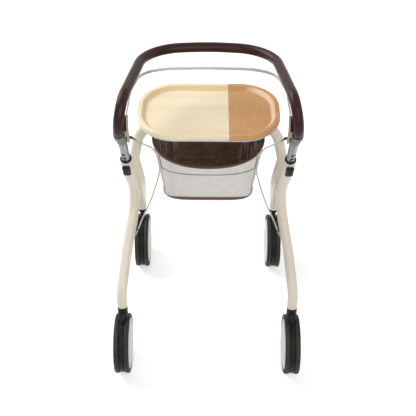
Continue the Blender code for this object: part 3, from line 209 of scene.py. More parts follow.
def skin(name, grid, around=True, along=False, caps=True, inward=None):
    """A shaded mesh from a grid, with UV in metres: distance along, distance round.

    around and along close it in columns and rows, and caps fill its two ends. Where its volume
    comes out negative, or inward is asked for, its faces are turned over.
    """
    rows, columns = grid.shape[:2]
    close = ((0, int(along)), (0, int(around)))
    index = np.pad(np.arange(rows * columns).reshape(rows, columns), close, mode="wrap")
    points = np.pad(grid, (*close, (0, 0)), mode="wrap")
    rises = np.linalg.norm(np.diff(points, axis=0), axis=2).mean(axis=1)
    down = np.concatenate([[0], np.cumsum(rises)])[:, None] + np.zeros(points.shape[:2])
    widths = np.linalg.norm(np.diff(points, axis=1), axis=2)
    round_it = np.hstack([np.zeros((len(points), 1)), np.cumsum(widths, axis=1)])
    flat = np.stack([down, round_it], axis=-1)
    low, high = slice(None, -1), slice(1, None)
    order = ((low, low), (low, high), (high, high), (high, low))
    quads = np.stack([index[cut] for cut in order], axis=-1).reshape(-1, 4)
    uv = np.stack([flat[cut] for cut in order], axis=2).reshape(-1, 4, 2)
    ends = [index[0, :-1][::-1], index[-1, :-1]] if around and not along and caps else []
    if volume_of(grid, quads, ends) < 0 if inward is None else inward:
        quads, uv, ends = quads[:, ::-1], uv[:, ::-1], [end[::-1] for end in ends]
    mesh = bpy.data.meshes.new(name)
    mesh.from_pydata(grid.reshape(-1, 3), [], quads.tolist() + [end.tolist() for end in ends])
    values = np.concatenate([uv.reshape(-1, 2), np.zeros((sum(map(len, ends)), 2))])
    layer = mesh.uv_layers.new(name="metres")
    layer.data.foreach_set("uv", values.astype(np.float32).ravel())
    work = bmesh.new()
    work.from_mesh(mesh)
    bmesh.ops.remove_doubles(work, verts=work.verts, dist=MERGE)
    work.to_mesh(mesh)
    work.free()
    mesh.shade_smooth()
    mesh.set_sharp_from_angle(angle=SHARP_EDGE)
    return mesh


print("corners sharper than", round(math.degrees(SHARP_EDGE)), "degrees stay sharp")

# %% [markdown]
# ### From a mesh to a piece
#
# A piece is a mesh with a finish that rides on a body of the frame and may stand for a node of
# it. Most pieces are grids, and many of those are turned, so each has its own short call.

# %% Pieces
FINISH = {}


def piece(name, mesh, finish, body, stands_for=None):
    """Put a mesh in the scene as a piece. It rides on a body when one is given."""
    made = bpy.data.objects.new(name, mesh)
    bpy.context.scene.collection.objects.link(made)
    mesh.materials.append(FINISH[finish])
    if body:
        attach(made, body)
    if stands_for:
        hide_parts(stands_for)
    return made


def put(name, grid, finish, body, stands_for=None, slot=None, **shape):
    """A grid as a piece. shape says how skin closes it."""
    return piece(name, skin(name, grid, **shape), finish, body, stands_for)


def put_turned(name, corners, soft, base, axis, steps, finish, body, stands_for=None):
    """A turned piece: a profile that starts on the axis ends there, and any other is a ring."""
    ring = corners[0][0] > 0
    grid = turned(soft_profile(corners, soft, ring), base, axis, steps)
    put(name, grid, finish, body, stands_for, along=ring, caps=False)


def refinish(node, finish):
    """Give a carried-over node of the frame a finish of this scene."""
    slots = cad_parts[node].data.materials
    slots.clear()
    slots.append(FINISH[finish])


# %% [markdown]
# ## Shared effects
#
# No real finish is one flat colour: it drifts slowly from place to place, and a fine touch of
# roughness catches the light. Both effects are node groups, built once and placed in each
# material with its own values. A third group draws the weave of cloth from the UV map.

# %% Node helpers


def link(value, socket):
    """Let one socket's value flow into another of the same tree."""
    socket.id_data.links.new(value, socket)


def add(kind, sockets, tree=None, **settings):
    """One shader node with its settings, and plain values or links on its sockets.

    It goes into the tree of the values that are linked to it, unless a tree is given.
    """
    links = [value for value in sockets.values() if isinstance(value, bpy.types.NodeSocket)]
    made = (tree or links[0].id_data).nodes.new("ShaderNode" + kind)
    for key, value in settings.items():
        setattr(made, key, value)
    for key, value in sockets.items():
        socket = made.inputs[key]
        if isinstance(value, bpy.types.NodeSocket):
            link(value, socket)
        else:
            socket.default_value = (*value, 1) if socket.type == "RGBA" else value
    return made


def sums(operation, first, second=0.0, third=0.0):
    """One step of arithmetic."""
    return add("Math", {0: first, 1: second, 2: third}, operation=operation).outputs[0]


def product(first, second):
    """Two values multiplied."""
    return sums("MULTIPLY", first, second)


def distance(first, second=0.0):
    """The distance between two values, |first - second|."""
    return sums("ABSOLUTE", sums("SUBTRACT", first, second))


def mixed(factor, first, second):
    """A colour between two others."""
    return add("Mix", {0: factor, 6: first, 7: second}, data_type="RGBA").outputs[2]


def ramp(value, low, high, to_low=0.0, to_high=1.0):
    """A value moved from one range to another, held inside it."""
    sockets = {0: value, 1: low, 2: high, 3: to_low, 4: to_high}
    return add("MapRange", sockets).outputs[0]


def noise(place, scale, detail):
    """Noise at one scale, or stretched where the scale has a value for each axis."""
    if isinstance(scale, tuple):
        place = add("Mapping", {"Vector": place, "Scale": scale}).outputs[0]
        scale = 1.0
    return add("TexNoise", {"Vector": place, "Scale": scale, "Detail": detail}).outputs[0]


def split(vector):
    """The three numbers of a vector."""
    return add("SeparateXYZ", {0: vector}).outputs


print("eight helpers add nodes")

# %% Shared groups


def new_group(name, inputs, outputs):
    """An empty node group with named sockets, and its two ends."""
    tree = bpy.data.node_groups.new(name, "ShaderNodeTree")
    for end, sockets in (("INPUT", inputs), ("OUTPUT", outputs)):
        for label, kind in sockets.items():
            tree.interface.new_socket(label, in_out=end, socket_type="NodeSocket" + kind)
    return tree, tree.nodes.new("NodeGroupInput").outputs, tree.nodes.new("NodeGroupOutput").inputs


def drift_group():
    """Colour drift: slow noise slides between two colours."""
    inputs = {"Vector": "Vector", "Scale": "Float", "One": "Color", "Other": "Color"}
    tree, given, out = new_group("colour_drift", inputs, {"Colour": "Color"})
    share = ramp(noise(given["Vector"], given["Scale"], 3.0), 0.36, 0.64)
    link(mixed(share, given["One"], given["Other"]), out["Colour"])
    return tree


def touch_group():
    """Fine touch: fine noise gives a height, and a coarser one a roughness between two values."""
    inputs = {"Vector": "Vector", "Scale": "Float", "Smooth": "Float", "Rough": "Float"}
    tree, given, out = new_group("fine_touch", inputs, {"Roughness": "Float", "Height": "Float"})
    link(noise(given["Vector"], given["Scale"], 2.0), out["Height"])
    coarse = noise(given["Vector"], product(given["Scale"], 0.08), 4.0)
    share = ramp(coarse, 0.35, 0.65, given["Smooth"], given["Rough"])
    link(share, out["Roughness"])
    return tree


def weave_group():
    """Plain weave: the warp shows where sin(u) * sin(v) is positive, the weft elsewhere."""
    inputs = {"Vector": "Vector", "Thread": "Float"}
    tree, given, out = new_group("plain_weave", inputs, {"Height": "Float", "Warp": "Float"})
    parts = split(given["Vector"])
    turn = sums("DIVIDE", math.pi, given["Thread"])
    crossed = product(*(sums("SINE", product(part, turn)) for part in parts[:2]))
    link(sums("ABSOLUTE", crossed), out["Height"])
    link(ramp(crossed, -0.1, 0.1), out["Warp"])
    return tree


DRIFT = drift_group()
TOUCH = touch_group()
WEAVE = weave_group()
print("shared groups:", [group.name for group in bpy.data.node_groups])

# %% How a finish is made


def use(group, **sockets):
    """A shared group placed in a material, with the outputs that it gives."""
    return add("Group", sockets, node_tree=group).outputs


def new_finish(name, **sockets):
    """An empty Principled finish with its plain values, kept under its name.

    It gives the shader's inputs, and where a point lies: in the object's space and on the UV map.
    """
    FINISH[name] = bpy.data.materials.new(name)
    FINISH[name].use_nodes = True
    tree = FINISH[name].node_tree
    shader = tree.nodes["Principled BSDF"].inputs
    for key, value in sockets.items():
        shader[key.replace("_", " ")].default_value = value
    where = add("TexCoord", {}, tree).outputs
    return shader, where["Object"], where["UV"]


def bump(shader, height, depth):
    """Let a height between 0 and 1 tilt the surface by a depth in metres."""
    made = add("Bump", {"Height": height, "Distance": depth})
    link(made.outputs[0], shader["Normal"])


def cover(shader, place, colour, rough, grain, depth, height=None):
    """Colour, a fine touch of roughness, and a bump by a height or else by the touch itself."""
    link(colour, shader["Base Color"])
    touch = use(TOUCH, Vector=place, Scale=grain, Smooth=rough[0], Rough=rough[1])
    link(touch["Roughness"], shader["Roughness"])
    bump(shader, height or touch["Height"], depth)


def plain_finish(name, one, other, rough, scale, grain, depth, **sockets):
    """A finish of drifting colour and fine touch, for paint, plastic and metal."""
    shader, place, _ = new_finish(name, **sockets)
    drift = use(DRIFT, Vector=place, Scale=scale, One=one, Other=other)
    cover(shader, place, drift["Colour"], rough, grain, depth)
    return shader, place, drift["Colour"]


print("materials that came with the frame:", len(bpy.data.materials))

# %% [markdown]
# ## Finishes of the hard parts
#
# The legs are powder coated: a satin cream with the faint orange peel that the powder leaves.
# Forks, rings and levers are black moulded plastic, the wheel caps are white plastic, and
# the small metal parts are steel, silver anodised aluminium and dull brown metal.

# %% Paint, plastic and metal finishes
plain_finish("cream_paint", (0.73, 0.665, 0.550), (0.69, 0.62, 0.50), (0.34, 0.44), 9, 700, 0.00005,
             Coat_Weight=0.15, Coat_Roughness=0.25)
plain_finish("black_plastic", (0.008, 0.008, 0.0075), (0.013, 0.013, 0.012), (0.40, 0.54), 60,
             1500, 0.00006, Specular_IOR_Level=0.13)
plain_finish("white_plastic", (0.67, 0.66, 0.635), (0.63, 0.62, 0.595), (0.34, 0.44), 12, 500,
             0.00002, Specular_IOR_Level=0.2)
plain_finish("steel", (0.56, 0.56, 0.55), (0.46, 0.46, 0.45), (0.28, 0.42), 150, 2500, 0.00002,
             Metallic=1.0)
plain_finish("grey_plastic", (0.155, 0.165, 0.150), (0.130, 0.140, 0.126), (0.40, 0.52), 50, 1600,
             0.00005)
plain_finish("taupe_plastic", (0.40, 0.33, 0.22), (0.35, 0.285, 0.19), (0.38, 0.48), 50, 1600,
             0.00004)
plain_finish("brass_brown", (0.34, 0.26, 0.14), (0.22, 0.165, 0.09), (0.30, 0.46), 220, 2500,
             0.00004, Metallic=0.6)
plain_finish("pan_grey", (0.53, 0.53, 0.57), (0.50, 0.50, 0.535), (0.32, 0.42), 14, 900, 0.00004)
plain_finish("cable_jacket", (0.42, 0.42, 0.405), (0.35, 0.35, 0.34), (0.30, 0.42), 70, 1400,
             0.00004, Coat_Weight=0.2)
print("finishes so far:", sorted(FINISH))

# %% [markdown]
# ## Tyres
#
# A tyre's rubber is dark brownish grey, with faint lighter streaks that run round it: painted
# highlights of its rounded tread. The streaks follow the surface, so they read the UV map,
# stretched far round and little across. Each wheel is turned about its axle: a rounded tread with
# two shallow grooves, and a domed white cap with a dimple where the axle's end shows.

# %% Tyre rubber
PAINTED_HIGHLIGHT_STREAKS = (900, 12, 1)


def rubber_finish():
    """Dark rubber with painted highlight streaks: noise read at (across * 900, round * 12)."""
    shader, place, flat = new_finish("tyre_rubber", Specular_IOR_Level=0.22)
    # Painted highlight: lighter streaks that run round the tread.
    share = ramp(noise(flat, PAINTED_HIGHLIGHT_STREAKS, 4.0), 0.35, 0.75)
    colour = mixed(share, (0.0125, 0.012, 0.0095), (0.054, 0.050, 0.040))
    cover(shader, place, colour, (0.50, 0.68), 900, 0.0001)


rubber_finish()
print("streaks are", round(1000 / PAINTED_HIGHLIGHT_STREAKS[0], 1), "mm across")

# %% Wheels
WHEEL_RADIUS = 0.090
TWIN_SPACE = 0.0156
REAR_AXLE = np.array([0.253, -0.233, WHEEL_RADIUS])
FRONT_AXLE = np.array([0.22225, 0.233, WHEEL_RADIUS])
DRUM_RADIUS = 0.030
BORE = 0.0043

TREAD = [
    (0.0775, 0.0142), (0.0800, 0.0146), (0.0850, 0.0146), (0.0856, 0.0141), (0.0862, 0.0146),
    (0.0890, 0.0128), (0.0900, 0.0098), (0.0900, 0.0048), (0.0890, 0.0018), (0.0862, 0.0),
    (0.0856, 0.0005), (0.0850, 0.0), (0.0800, 0.0), (0.0775, 0.0004),
]
CAP = np.concatenate([
    soft_profile([
        (0.0, 0.0186), (0.0058, 0.0186), (0.0072, 0.0198), (0.030, 0.0194), (0.058, 0.0172),
        (0.0690, 0.0153), (0.0700, 0.0147), (0.0712, 0.0149), (0.0752, 0.0140),
        (0.0766, 0.0126), (0.0766, 0.0010),
    ], 0.004, closed=False),
    [(0.0716, 0.0010), (0.0696, 0.0116), (DRUM_RADIUS, 0.0116), (DRUM_RADIUS, -0.0055),
     (BORE, -0.0055), (BORE, 0.0130), (0.0, 0.0130)],
])
AXLE_END = [(0, 0.0200), (0.0034, 0.0199), (0.0044, 0.0192), (0.0044, 0.0184), (0, 0.0184)]


def make_wheel(name, centre, axis):
    """Tyre, cap and axle end of one wheel of a twin pair."""
    body = "wheel_" + name
    put_turned("tyre_dressed_" + name, TREAD, 0.0022, centre, axis, 128, "tyre_rubber", body,
               "tyre_" + name)
    put("cap_" + name, turned(CAP, centre, axis, 96), "white_plastic", body, "rim_" + name,
        caps=False)
    put_turned("axle_end_" + name, AXLE_END, 0, centre, axis, 24, "black_plastic", body)


for end_name, axle in (("rear", REAR_AXLE), ("front", FRONT_AXLE)):
    for hand, side in SIDES.items():
        for where, outward in (("inner", -side), ("outer", side)):
            middle = axle * (side, 1, 1) + X_AXIS * TWIN_SPACE / 2 * outward
            make_wheel(f"{end_name}_{hand}_{where}", middle, X_AXIS * outward)

# %% [markdown]
# ## Forks
#
# Each fork is one black moulding. A round socket holds the leg, a wedge narrows from it to the
# space between the twin tyres, and a disc fills that space. The wedge is a loft: an ellipse whose
# two half widths change with height. Its tail reaches back over the tyres, which is what shows
# as a small V from behind.

# %% Lofts and the disc between the tyres
DISC_HALF = 0.0070
DISC_RADIUS = 0.087
HUB = 0.0325
HUB_HALF = 0.0018


def between(values, at):
    """Values at shares between 0 and 1, eased at both ends: 3 s^2 - 2 s^3."""
    values = np.asarray(values, float)
    spread = np.linspace(0, 1, len(values))
    cell = np.clip(np.searchsorted(spread, at, side="right") - 1, 0, len(values) - 2)
    s = (at - spread[cell]) * (len(values) - 1)
    s = (s * s * (3 - 2 * s))[:, None]
    return values[cell] * (1 - s) + values[cell + 1] * s


def wedge(rings, rows=24, columns=48):
    """Loft of ellipses: (centre x, centre y, height, half width in x, half depth in y)."""
    x, y, z, half_x, half_y = between(rings, np.linspace(0, 1, rows)).T[..., None]
    angle = full_turn(columns)
    grid = (x + half_x * np.cos(angle), y + half_y * np.sin(angle), z + np.zeros(columns))
    return np.stack(grid, axis=-1)


def fork_disc(name, centre, body, node):
    """The disc between the tyres, with a rounded rim and a recess for each drum."""
    half = [(BORE, HUB_HALF), (HUB, HUB_HALF), (HUB, DISC_HALF), (DISC_RADIUS, DISC_HALF)]
    ring = half + [(radius, -height) for radius, height in reversed(half)]
    put_turned(name, ring, 0.0012, centre, X_AXIS, 96, "black_plastic", body, node)


print("disc is", 2000 * DISC_HALF, "mm thick")

# %% Fork pieces
FORK_X = 0.25125
FORK_Y = -0.2015
SOCKET_TOP = 0.2157
LIP_RADIUS = 0.0154
SWIVEL_Y = 0.263


def rear_fork(hand, side):
    """Socket, tilted lip, wedge and disc of the fixed rear fork."""
    place = ("black_plastic", "rear_frame", "rear_fork_" + hand)
    x, y, wheel_x = FORK_X * side, FORK_Y, REAR_AXLE[0] * side
    socket = [(0, SOCKET_TOP), (0.0145, SOCKET_TOP), (0.0150, SOCKET_TOP - 0.0010),
              (0.0150, 0.188), (0, 0.188)]
    put_turned("fork_socket_rear_" + hand, socket, 0.001, (x, y, 0), Z_AXIS, 48, *place)
    lip = soft_profile([(0.0148, 0.2120), (LIP_RADIUS, 0.2120), (LIP_RADIUS, 0.2160),
                        (0.0148, 0.2160)], 0.0003)
    band = turned(lip, (x, y, 0), Z_AXIS, 48)
    rise = 0.0010 + 0.0040 * (y - band[..., 1]) / LIP_RADIUS
    band[..., 2] += np.where(band[..., 2] > 0.214, rise, 0)
    put("fork_lip_rear_" + hand, band, *place, along=True)
    rings = [
        (x, y, 0.198, 0.0149, 0.0149),
        (x, y - 0.004, 0.1905, 0.0138, 0.0185),
        ((x + wheel_x) / 2, -0.2140, 0.1830, 0.0085, 0.0250),
        (wheel_x, -0.2150, 0.170, 0.0069, 0.0265),
        (wheel_x, -0.2150, 0.130, 0.0069, 0.0265),
    ]
    put("fork_wedge_rear_" + hand, wedge(rings), *place)
    fork_disc("fork_disc_rear_" + hand, REAR_AXLE * (side, 1, 1), *place[1:])


def front_fork(hand, side):
    """Stem, crown, wedge and disc of a swivel fork, and the socket that it turns in."""
    place = ("black_plastic", "caster_" + hand, "caster_fork_" + hand)
    x, y = FRONT_AXLE[0] * side, SWIVEL_Y
    stem = [
        (0, 0.230), (0.0055, 0.230), (0.0060, 0.229), (0.0060, 0.2056), (0.0075, 0.2046),
        (0.0122, 0.2034), (0.0135, 0.2022), (0.0135, 0.1996), (0.0118, 0.1980), (0, 0.1980),
    ]
    put_turned("fork_stem_" + hand, stem, 0.0010, (x, y, 0), Z_AXIS, 48, *place)
    rings = [
        (x, y, 0.2000, 0.0120, 0.0120),
        (x, y - 0.002, 0.1962, 0.0078, 0.0125),
        (x, y - 0.008, 0.1880, 0.0069, 0.0170),
        (x, 0.248, 0.1740, 0.0068, 0.0220),
        (x, 0.248, 0.1300, 0.0068, 0.0220),
    ]
    put("fork_wedge_front_" + hand, wedge(rings), *place)
    fork_disc("fork_disc_front_" + hand, FRONT_AXLE * (side, 1, 1), *place[1:])
    socket = [
        (0.0063, 0.2327), (0.0130, 0.2327), (0.0130, 0.2114), (0.0122, 0.2106), (0.0087, 0.2101),
        (0.0085, 0.2087), (0.0070, 0.2083), (0.0068, 0.2072), (0.0063, 0.2070),
    ]
    put_turned("leg_socket_" + hand, socket, 0.0004, (x, y, 0), Z_AXIS, 48, "black_plastic",
               "front_frame", "caster_socket_" + hand)


for hand, side in SIDES.items():
    rear_fork(hand, side)
    front_fork(hand, side)
    refinish("rear_axle_" + hand, "steel")
    refinish("front_axle_" + hand, "steel")
    refinish("brake_shoe_" + hand, "grey_plastic")

# %% [markdown]
# ## Legs
#
# The legs are 30 mm tubes in powder coat. A rear leg rises from its fork, crosses the front leg
# at the fold pin, and leans back to the collar. A front leg rises from its swivel, leans back to
# the pin, stands upright above it, and turns in under the tray. Both follow rounded paths, with
# a round section carried along them.

# %% Leg paths
TUBE_RADIUS = 0.015
POST_LEAN = math.radians(30)
POST_X = 0.2205
POST_TOP = np.array([0.0, -0.116, 0.700])
POST_UP = np.array([0.0, -math.sin(POST_LEAN), math.cos(POST_LEAN)])
POST_OUT = np.array([0.0, -math.cos(POST_LEAN), -math.sin(POST_LEAN)])
KNEE_HEIGHT = 0.475
BRIDGE_Y = 0.045
BRIDGE_HEIGHT = 0.705


def on_post(up, side=1, out=0.0):
    """A point on a post's axis: up from the ring at the leg's mouth, and out to the user."""
    return POST_TOP + X_AXIS * POST_X * side + POST_UP * up + POST_OUT * out


def rear_leg_path(side):
    """From the fork's socket up to the leg's mouth."""
    knee_y = POST_TOP[1] + (POST_TOP[2] - KNEE_HEIGHT) * math.tan(POST_LEAN)
    corners = [
        (FORK_X, FORK_Y, 0.216), (0.2508, FORK_Y, 0.271), (0.2372, -0.1120, 0.354),
        (0.2095, knee_y, KNEE_HEIGHT), on_post(-0.125), on_post(-0.0035),
    ]
    return rounded_path(corners, (0.070, 0.300, 0.100, 0.500), 3) * (side, 1, 1)


def front_leg_path(side):
    """From the swivel back to the pin, upright above it, and in under the tray."""
    corners = [
        (FRONT_AXLE[0], SWIVEL_Y, 0.211), (FRONT_AXLE[0], SWIVEL_Y, 0.253), (0.199, 0.036, 0.508),
        (0.2148, 0.0395, 0.584), (0.1894, BRIDGE_Y, BRIDGE_HEIGHT),
        (0.100, BRIDGE_Y, BRIDGE_HEIGHT),
    ]
    return rounded_path(corners, (0.060, 0.100, 0.050, 0.080), 3) * (side, 1, 1)


print("rear leg", length_of(rear_leg_path(1)), "front leg", length_of(front_leg_path(1)), "m")

# %% Leg tubes and lugs
PIVOT = np.array([0.0, 0.019, 0.490])
PIVOT_X = 0.2085
LUG = 0.006
LUG_GAP = 0.0006
QUARTER = np.radians([0, 30, 60, 90])


def rounded_plate(path, radius, width, edge):
    """A plate across X round a path in side view, with round ends and rounded edges.

    Its outline is path +- normal * radius, closed by half circles. Near each face the outline
    draws in by edge * (1 - sin a) while the face lies edge * (1 - cos a) inside.
    """
    path = np.asarray(path, float)
    along = unit(np.gradient(path, axis=0))
    normal = np.cross(X_AXIS, along)
    swing = np.radians(np.linspace(90, -90, 13))[1:-1, None]
    rings = []
    for direction, a in [(-1, a) for a in QUARTER] + [(1, a) for a in QUARTER[::-1]]:
        drawn = radius - edge * (1 - math.sin(a))
        across = X_AXIS * direction * (width / 2 - edge * (1 - math.cos(a)))
        end = path[-1] + (along[-1] * np.cos(swing) + normal[-1] * np.sin(swing)) * drawn
        start = path[0] - (along[0] * np.cos(swing) + normal[0] * np.sin(swing)) * drawn
        sides = (path + normal * drawn, end, (path - normal * drawn)[::-1], start)
        rings.append(np.concatenate(sides) + across)
    return np.array(rings)


def add_leg(which, hand, path, across, lug_x):
    """A leg's tube, and the welded ear that takes the fold pin."""
    body = which + "_frame"
    node = which + "_leg_" + hand
    put(f"leg_{which}_{hand}", sweep(path, circle(TUBE_RADIUS, 48), across), "cream_paint",
        body, node)
    off = (path - PIVOT) * (0, 1, 1)
    near = off[np.argmin(np.linalg.norm(off, axis=1))]
    reach = np.linalg.norm(near) - TUBE_RADIUS + 0.006
    line = np.linspace(0, 1, 6)[:, None] * unit(near) * reach + PIVOT + X_AXIS * lug_x
    put("lug_" + node, rounded_plate(line, 0.010, LUG, 0.001), "cream_paint", body, node)


for hand, side in SIDES.items():
    add_leg("rear", hand, even_steps(rear_leg_path(side), 0.004), X_AXIS,
            (PIVOT_X + LUG / 2) * side)
    add_leg("front", hand, even_steps(front_leg_path(side), 0.004), Y_AXIS,
            (PIVOT_X - LUG / 2 - LUG_GAP) * side)
print("lugs are", LUG * 1000, "mm thick")

# %% Cross tube and fold pins
bridge = np.array([(x, BRIDGE_Y, BRIDGE_HEIGHT) for x in (-0.0997, 0.0997)])
put("bridge_tube", sweep(even_steps(bridge, 0.01), circle(TUBE_RADIUS, 48), Y_AXIS), "cream_paint",
    "front_frame", "cross_tube")

HEAD_GAP = 0.0003
outer = PIVOT_X + LUG + HEAD_GAP
inner = PIVOT_X - LUG - LUG_GAP - HEAD_GAP
rivet = [
    (0, outer + 0.0025), (0.0045, outer + 0.0025), (0.0065, outer + 0.0008), (0.0065, outer),
    (0.004, outer), (0.004, inner), (0.0065, inner), (0.0065, inner - 0.0008),
    (0.0045, inner - 0.0025), (0, inner - 0.0025),
]
for hand, side in SIDES.items():
    put_turned("fold_rivet_" + hand, rivet, 0.0008, PIVOT, X_AXIS * side, 32, "steel",
               "rear_frame", "fold_pin_" + hand)
print("rivet is", round((outer - inner) * 1000, 1), "mm between its heads")

# %% [markdown]
# ## Posts, rings, collars and levers
#
# A silver post slides in each leg. A black ring guides it, a cream collar closes the leg's
# mouth, and a black cam lever under the ring clamps it. Plain marks, three of which show at
# rest, help the user set both sides to one height. The post's material draws them from its UV
# map, where one axis is the distance along the post and the other the distance round it.

# %% Silver aluminium with height marks
POST_RADIUS = 0.01175
MARK_STEP = 0.0222
MARK_HEIGHT = 0.0105
FIRST_MARK = 0.0183
MARKS_END = 0.122
MARK_AT = {"left": math.radians(250), "right": math.radians(288)}
MARK_WIDTH = 0.0132
MARK_BLACK = (0.006, 0.006, 0.006)


def mark_share(flat, turn):
    """1 on a mark, 0 elsewhere.

    A mark is where the distance along is near a whole number of steps, and the distance round is
    near the place that is asked for.
    """
    parts = split(flat)
    start = sums("ADD", parts[0], MARK_STEP / 2 - FIRST_MARK)
    step = sums("PINGPONG", start, MARK_STEP / 2)
    dark = sums("GREATER_THAN", step, (MARK_STEP - MARK_HEIGHT) / 2)
    dark = product(dark, sums("LESS_THAN", parts[0], MARKS_END))
    off = distance(parts[1], turn * POST_RADIUS)
    return product(dark, sums("LESS_THAN", off, MARK_WIDTH / 2))


def silver_finish(name, tones, marked=None):
    """Anodised aluminium: noise stretched along the piece, and marks where asked.

    Broad bands round it are partly brushing and partly painted reflection.
    """
    shader, place, flat = new_finish(name, Metallic=1.0)
    line = noise(flat, (15, 1500, 1), 3.0)
    # Broad bands round the piece: partly brushing, partly painted reflection.
    band = ramp(noise(flat, (2, 190, 1), 1.0), 0.38, 0.62, 0.0, 0.7)
    share = sums("MULTIPLY_ADD", ramp(line, 0.3, 0.7), 0.3, band)
    colour = mixed(share, *((tone, tone, tone * 0.99) for tone in tones))
    cover(shader, place, colour, (0.28, 0.40), 1800, 0.00002, line)
    if marked:
        dark = mark_share(flat, marked)
        link(mixed(dark, colour, MARK_BLACK), shader["Base Color"])
        link(sums("SUBTRACT", 1.0, dark), shader["Metallic"])
        rough = shader["Roughness"].links[0].from_socket
        link(sums("MULTIPLY_ADD", dark, 0.55, rough), shader["Roughness"])


silver_finish("silver_aluminium", (0.54, 0.36))
for hand in SIDES:
    silver_finish("silver_post_" + hand, (0.36, 0.20), MARK_AT[hand])
print("marks every", MARK_STEP * 1000, "mm")

# %% Posts, rings and collars
POST_ENDS = (-0.062, 0.1288)
RING = [(0.0121, 0.0), (0.0143, 0.0), (0.0152, -0.0010), (0.0152, -0.0032), (0.0128, -0.0032),
        (0.0128, -0.0300), (0.0121, -0.0300)]
COLLAR = [(0.0154, -0.0042), (0.0160, -0.0042), (0.0168, -0.0052), (0.0168, -0.0622),
          (0.0163, -0.0640), (0.0154, -0.0640)]
LEVER_AT = -0.016
LEVER_OUT = 0.02286

for hand, side in SIDES.items():
    straight = even_steps(np.array([on_post(up, side) for up in POST_ENDS]), 0.004)
    put("post_tube_" + hand, sweep(straight, circle(POST_RADIUS, 64)), "silver_post_" + hand,
        "handle", "post_" + hand, "silver_aluminium")
    put_turned("guide_ring_" + hand, RING, 0.0007, on_post(0, side), POST_UP, 64,
               "black_plastic", "rear_frame", "guide_bush_" + hand)
    collar = ("cream_paint", "rear_frame", "post_collar_" + hand)
    put_turned("collar_" + hand, COLLAR, 0.0008, on_post(0, side), POST_UP, 64, *collar)
    ear = [on_post(LEVER_AT, side, out) for out in np.linspace(0.0150, LEVER_OUT, 4)]
    put("collar_ear_" + hand, rounded_plate(ear, 0.0034, 0.0088, 0.0006), *collar)
print("ring is", 2000 * max(radius for radius, _ in RING), "mm across")

# %% [markdown]
# ### The cam levers
#
# A lever is a small black block with a round back, rounded lower corners, and a ribbed pad for
# the thumb. The block is a plate with generous edges, and the pad is a grid whose height
# rises and falls with a cosine across it.

# %% Levers
plain_finish("lever_grey", (0.006, 0.006, 0.0055), (0.011, 0.011, 0.010), (0.42, 0.56), 300, 2200,
             0.0001, Specular_IOR_Level=0.07)
LEVER_LENGTH = 0.038
PAD_HALF = (0.0062, 0.0125)
PAD_RIBS = 7


def thumb_pad(pivot):
    """A ribbed pad: height = crown * edge falloff + rib * (1 + cos(ribs * across)) / 2."""
    s = np.linspace(-1, 1, 41)[None, :, None]
    t = np.linspace(-1, 1, 61)[:, None, None]
    edge = np.clip(1 - np.abs(s) ** 8, 0, 1) * np.clip(1 - np.abs(t) ** 10, 0, 1)
    rib = 0.5 + 0.5 * np.cos(s * math.pi * PAD_RIBS)
    height = 0.0052 + edge * (0.0010 + 0.0006 * rib)
    down = POST_UP * (0.0175 + t * PAD_HALF[1])
    return pivot + X_AXIS * s * PAD_HALF[0] - down + POST_OUT * height


for hand, side in SIDES.items():
    pivot = on_post(LEVER_AT, side, LEVER_OUT)
    body = "height_lever_" + hand
    line = pivot - POST_UP * np.linspace(0, LEVER_LENGTH, 9)[:, None]
    put("lever_" + hand, rounded_plate(line, 0.0059, 0.0225, 0.0057), "black_plastic", body, body)
    put("lever_pad_" + hand, thumb_pad(pivot), "lever_grey", body, slot="black_plastic",
        around=False, inward=False)
print("lever is", LEVER_LENGTH * 1000, "mm long from its pin")

# %% [markdown]
# ## Handle
#
# One tube bow runs from post to post, wrapped in leather. The leather is sewn edge to edge along
# the inner side, so two rows of stitches and a seam run the whole length. The cells of the
# grain are a Voronoi pattern, and dents between them are darker than their tops.

# %% Leather
GRIP_RADIUS = 0.0137
GRIP_ROUND = 2 * math.pi * GRIP_RADIUS
GRAIN_SCALE = 850.0
SEAM_HALF = 0.0009
STITCH = 0.0042
STITCH_SHARE = 0.68
STITCH_HALF = 0.0004
STITCH_OFF = 0.0022


def sewn(flat, seam, colour, height):
    """A seam and its stitches drawn into a colour and a height.

    The seam is a groove where |distance round - seam| is small. Stitches are dashes on two
    lines beside it: where the fraction of distance along / stitch length is under their share.
    """
    along, across, _ = split(flat)
    off = distance(across, seam)
    height = product(height, ramp(off, 0.0, SEAM_HALF))
    line = sums("LESS_THAN", distance(off, STITCH_OFF), STITCH_HALF)
    dash = sums("FRACT", sums("DIVIDE", along, STITCH))
    stitch = product(line, sums("LESS_THAN", dash, STITCH_SHARE))
    colour = mixed(stitch, colour, (0.14, 0.07, 0.045))
    colour = mixed(ramp(off, 0.0, 0.0006, 1.0, 0.0), colour, (0.02, 0.008, 0.006))
    return colour, sums("MAXIMUM", height, product(stitch, 1.4))


def leather_finish(name, one, other, seam=None):
    """Leather: Voronoi cells for the grain, drifting colour, and a seam where asked."""
    shader, place, flat = new_finish(name, Sheen_Weight=0.42, Sheen_Roughness=0.12,
                                     Sheen_Tint=(0.95, 0.42, 0.36, 1), Specular_IOR_Level=0.18)
    cells = add("TexVoronoi", {"Vector": place, "Scale": GRAIN_SCALE}, feature="DISTANCE_TO_EDGE")
    height = ramp(cells.outputs["Distance"], 0.0, 0.28)
    drift = use(DRIFT, Vector=place, Scale=24, One=one, Other=other)
    dents = tuple(value * 0.55 for value in one)
    colour = mixed(ramp(height, 0, 0.5), dents, drift["Colour"])
    if seam:
        colour, height = sewn(flat, seam, colour, height)
    cover(shader, place, colour, (0.27, 0.38), 500, 0.00004, height)


leather_finish("brown_leather", (0.038, 0.0105, 0.0085), (0.026, 0.007, 0.0060), GRIP_ROUND / 2)
leather_finish("brown_trim", (0.125, 0.052, 0.030), (0.095, 0.038, 0.022))
print("leather sleeve is", round(GRIP_ROUND * 1000, 1), "mm round")

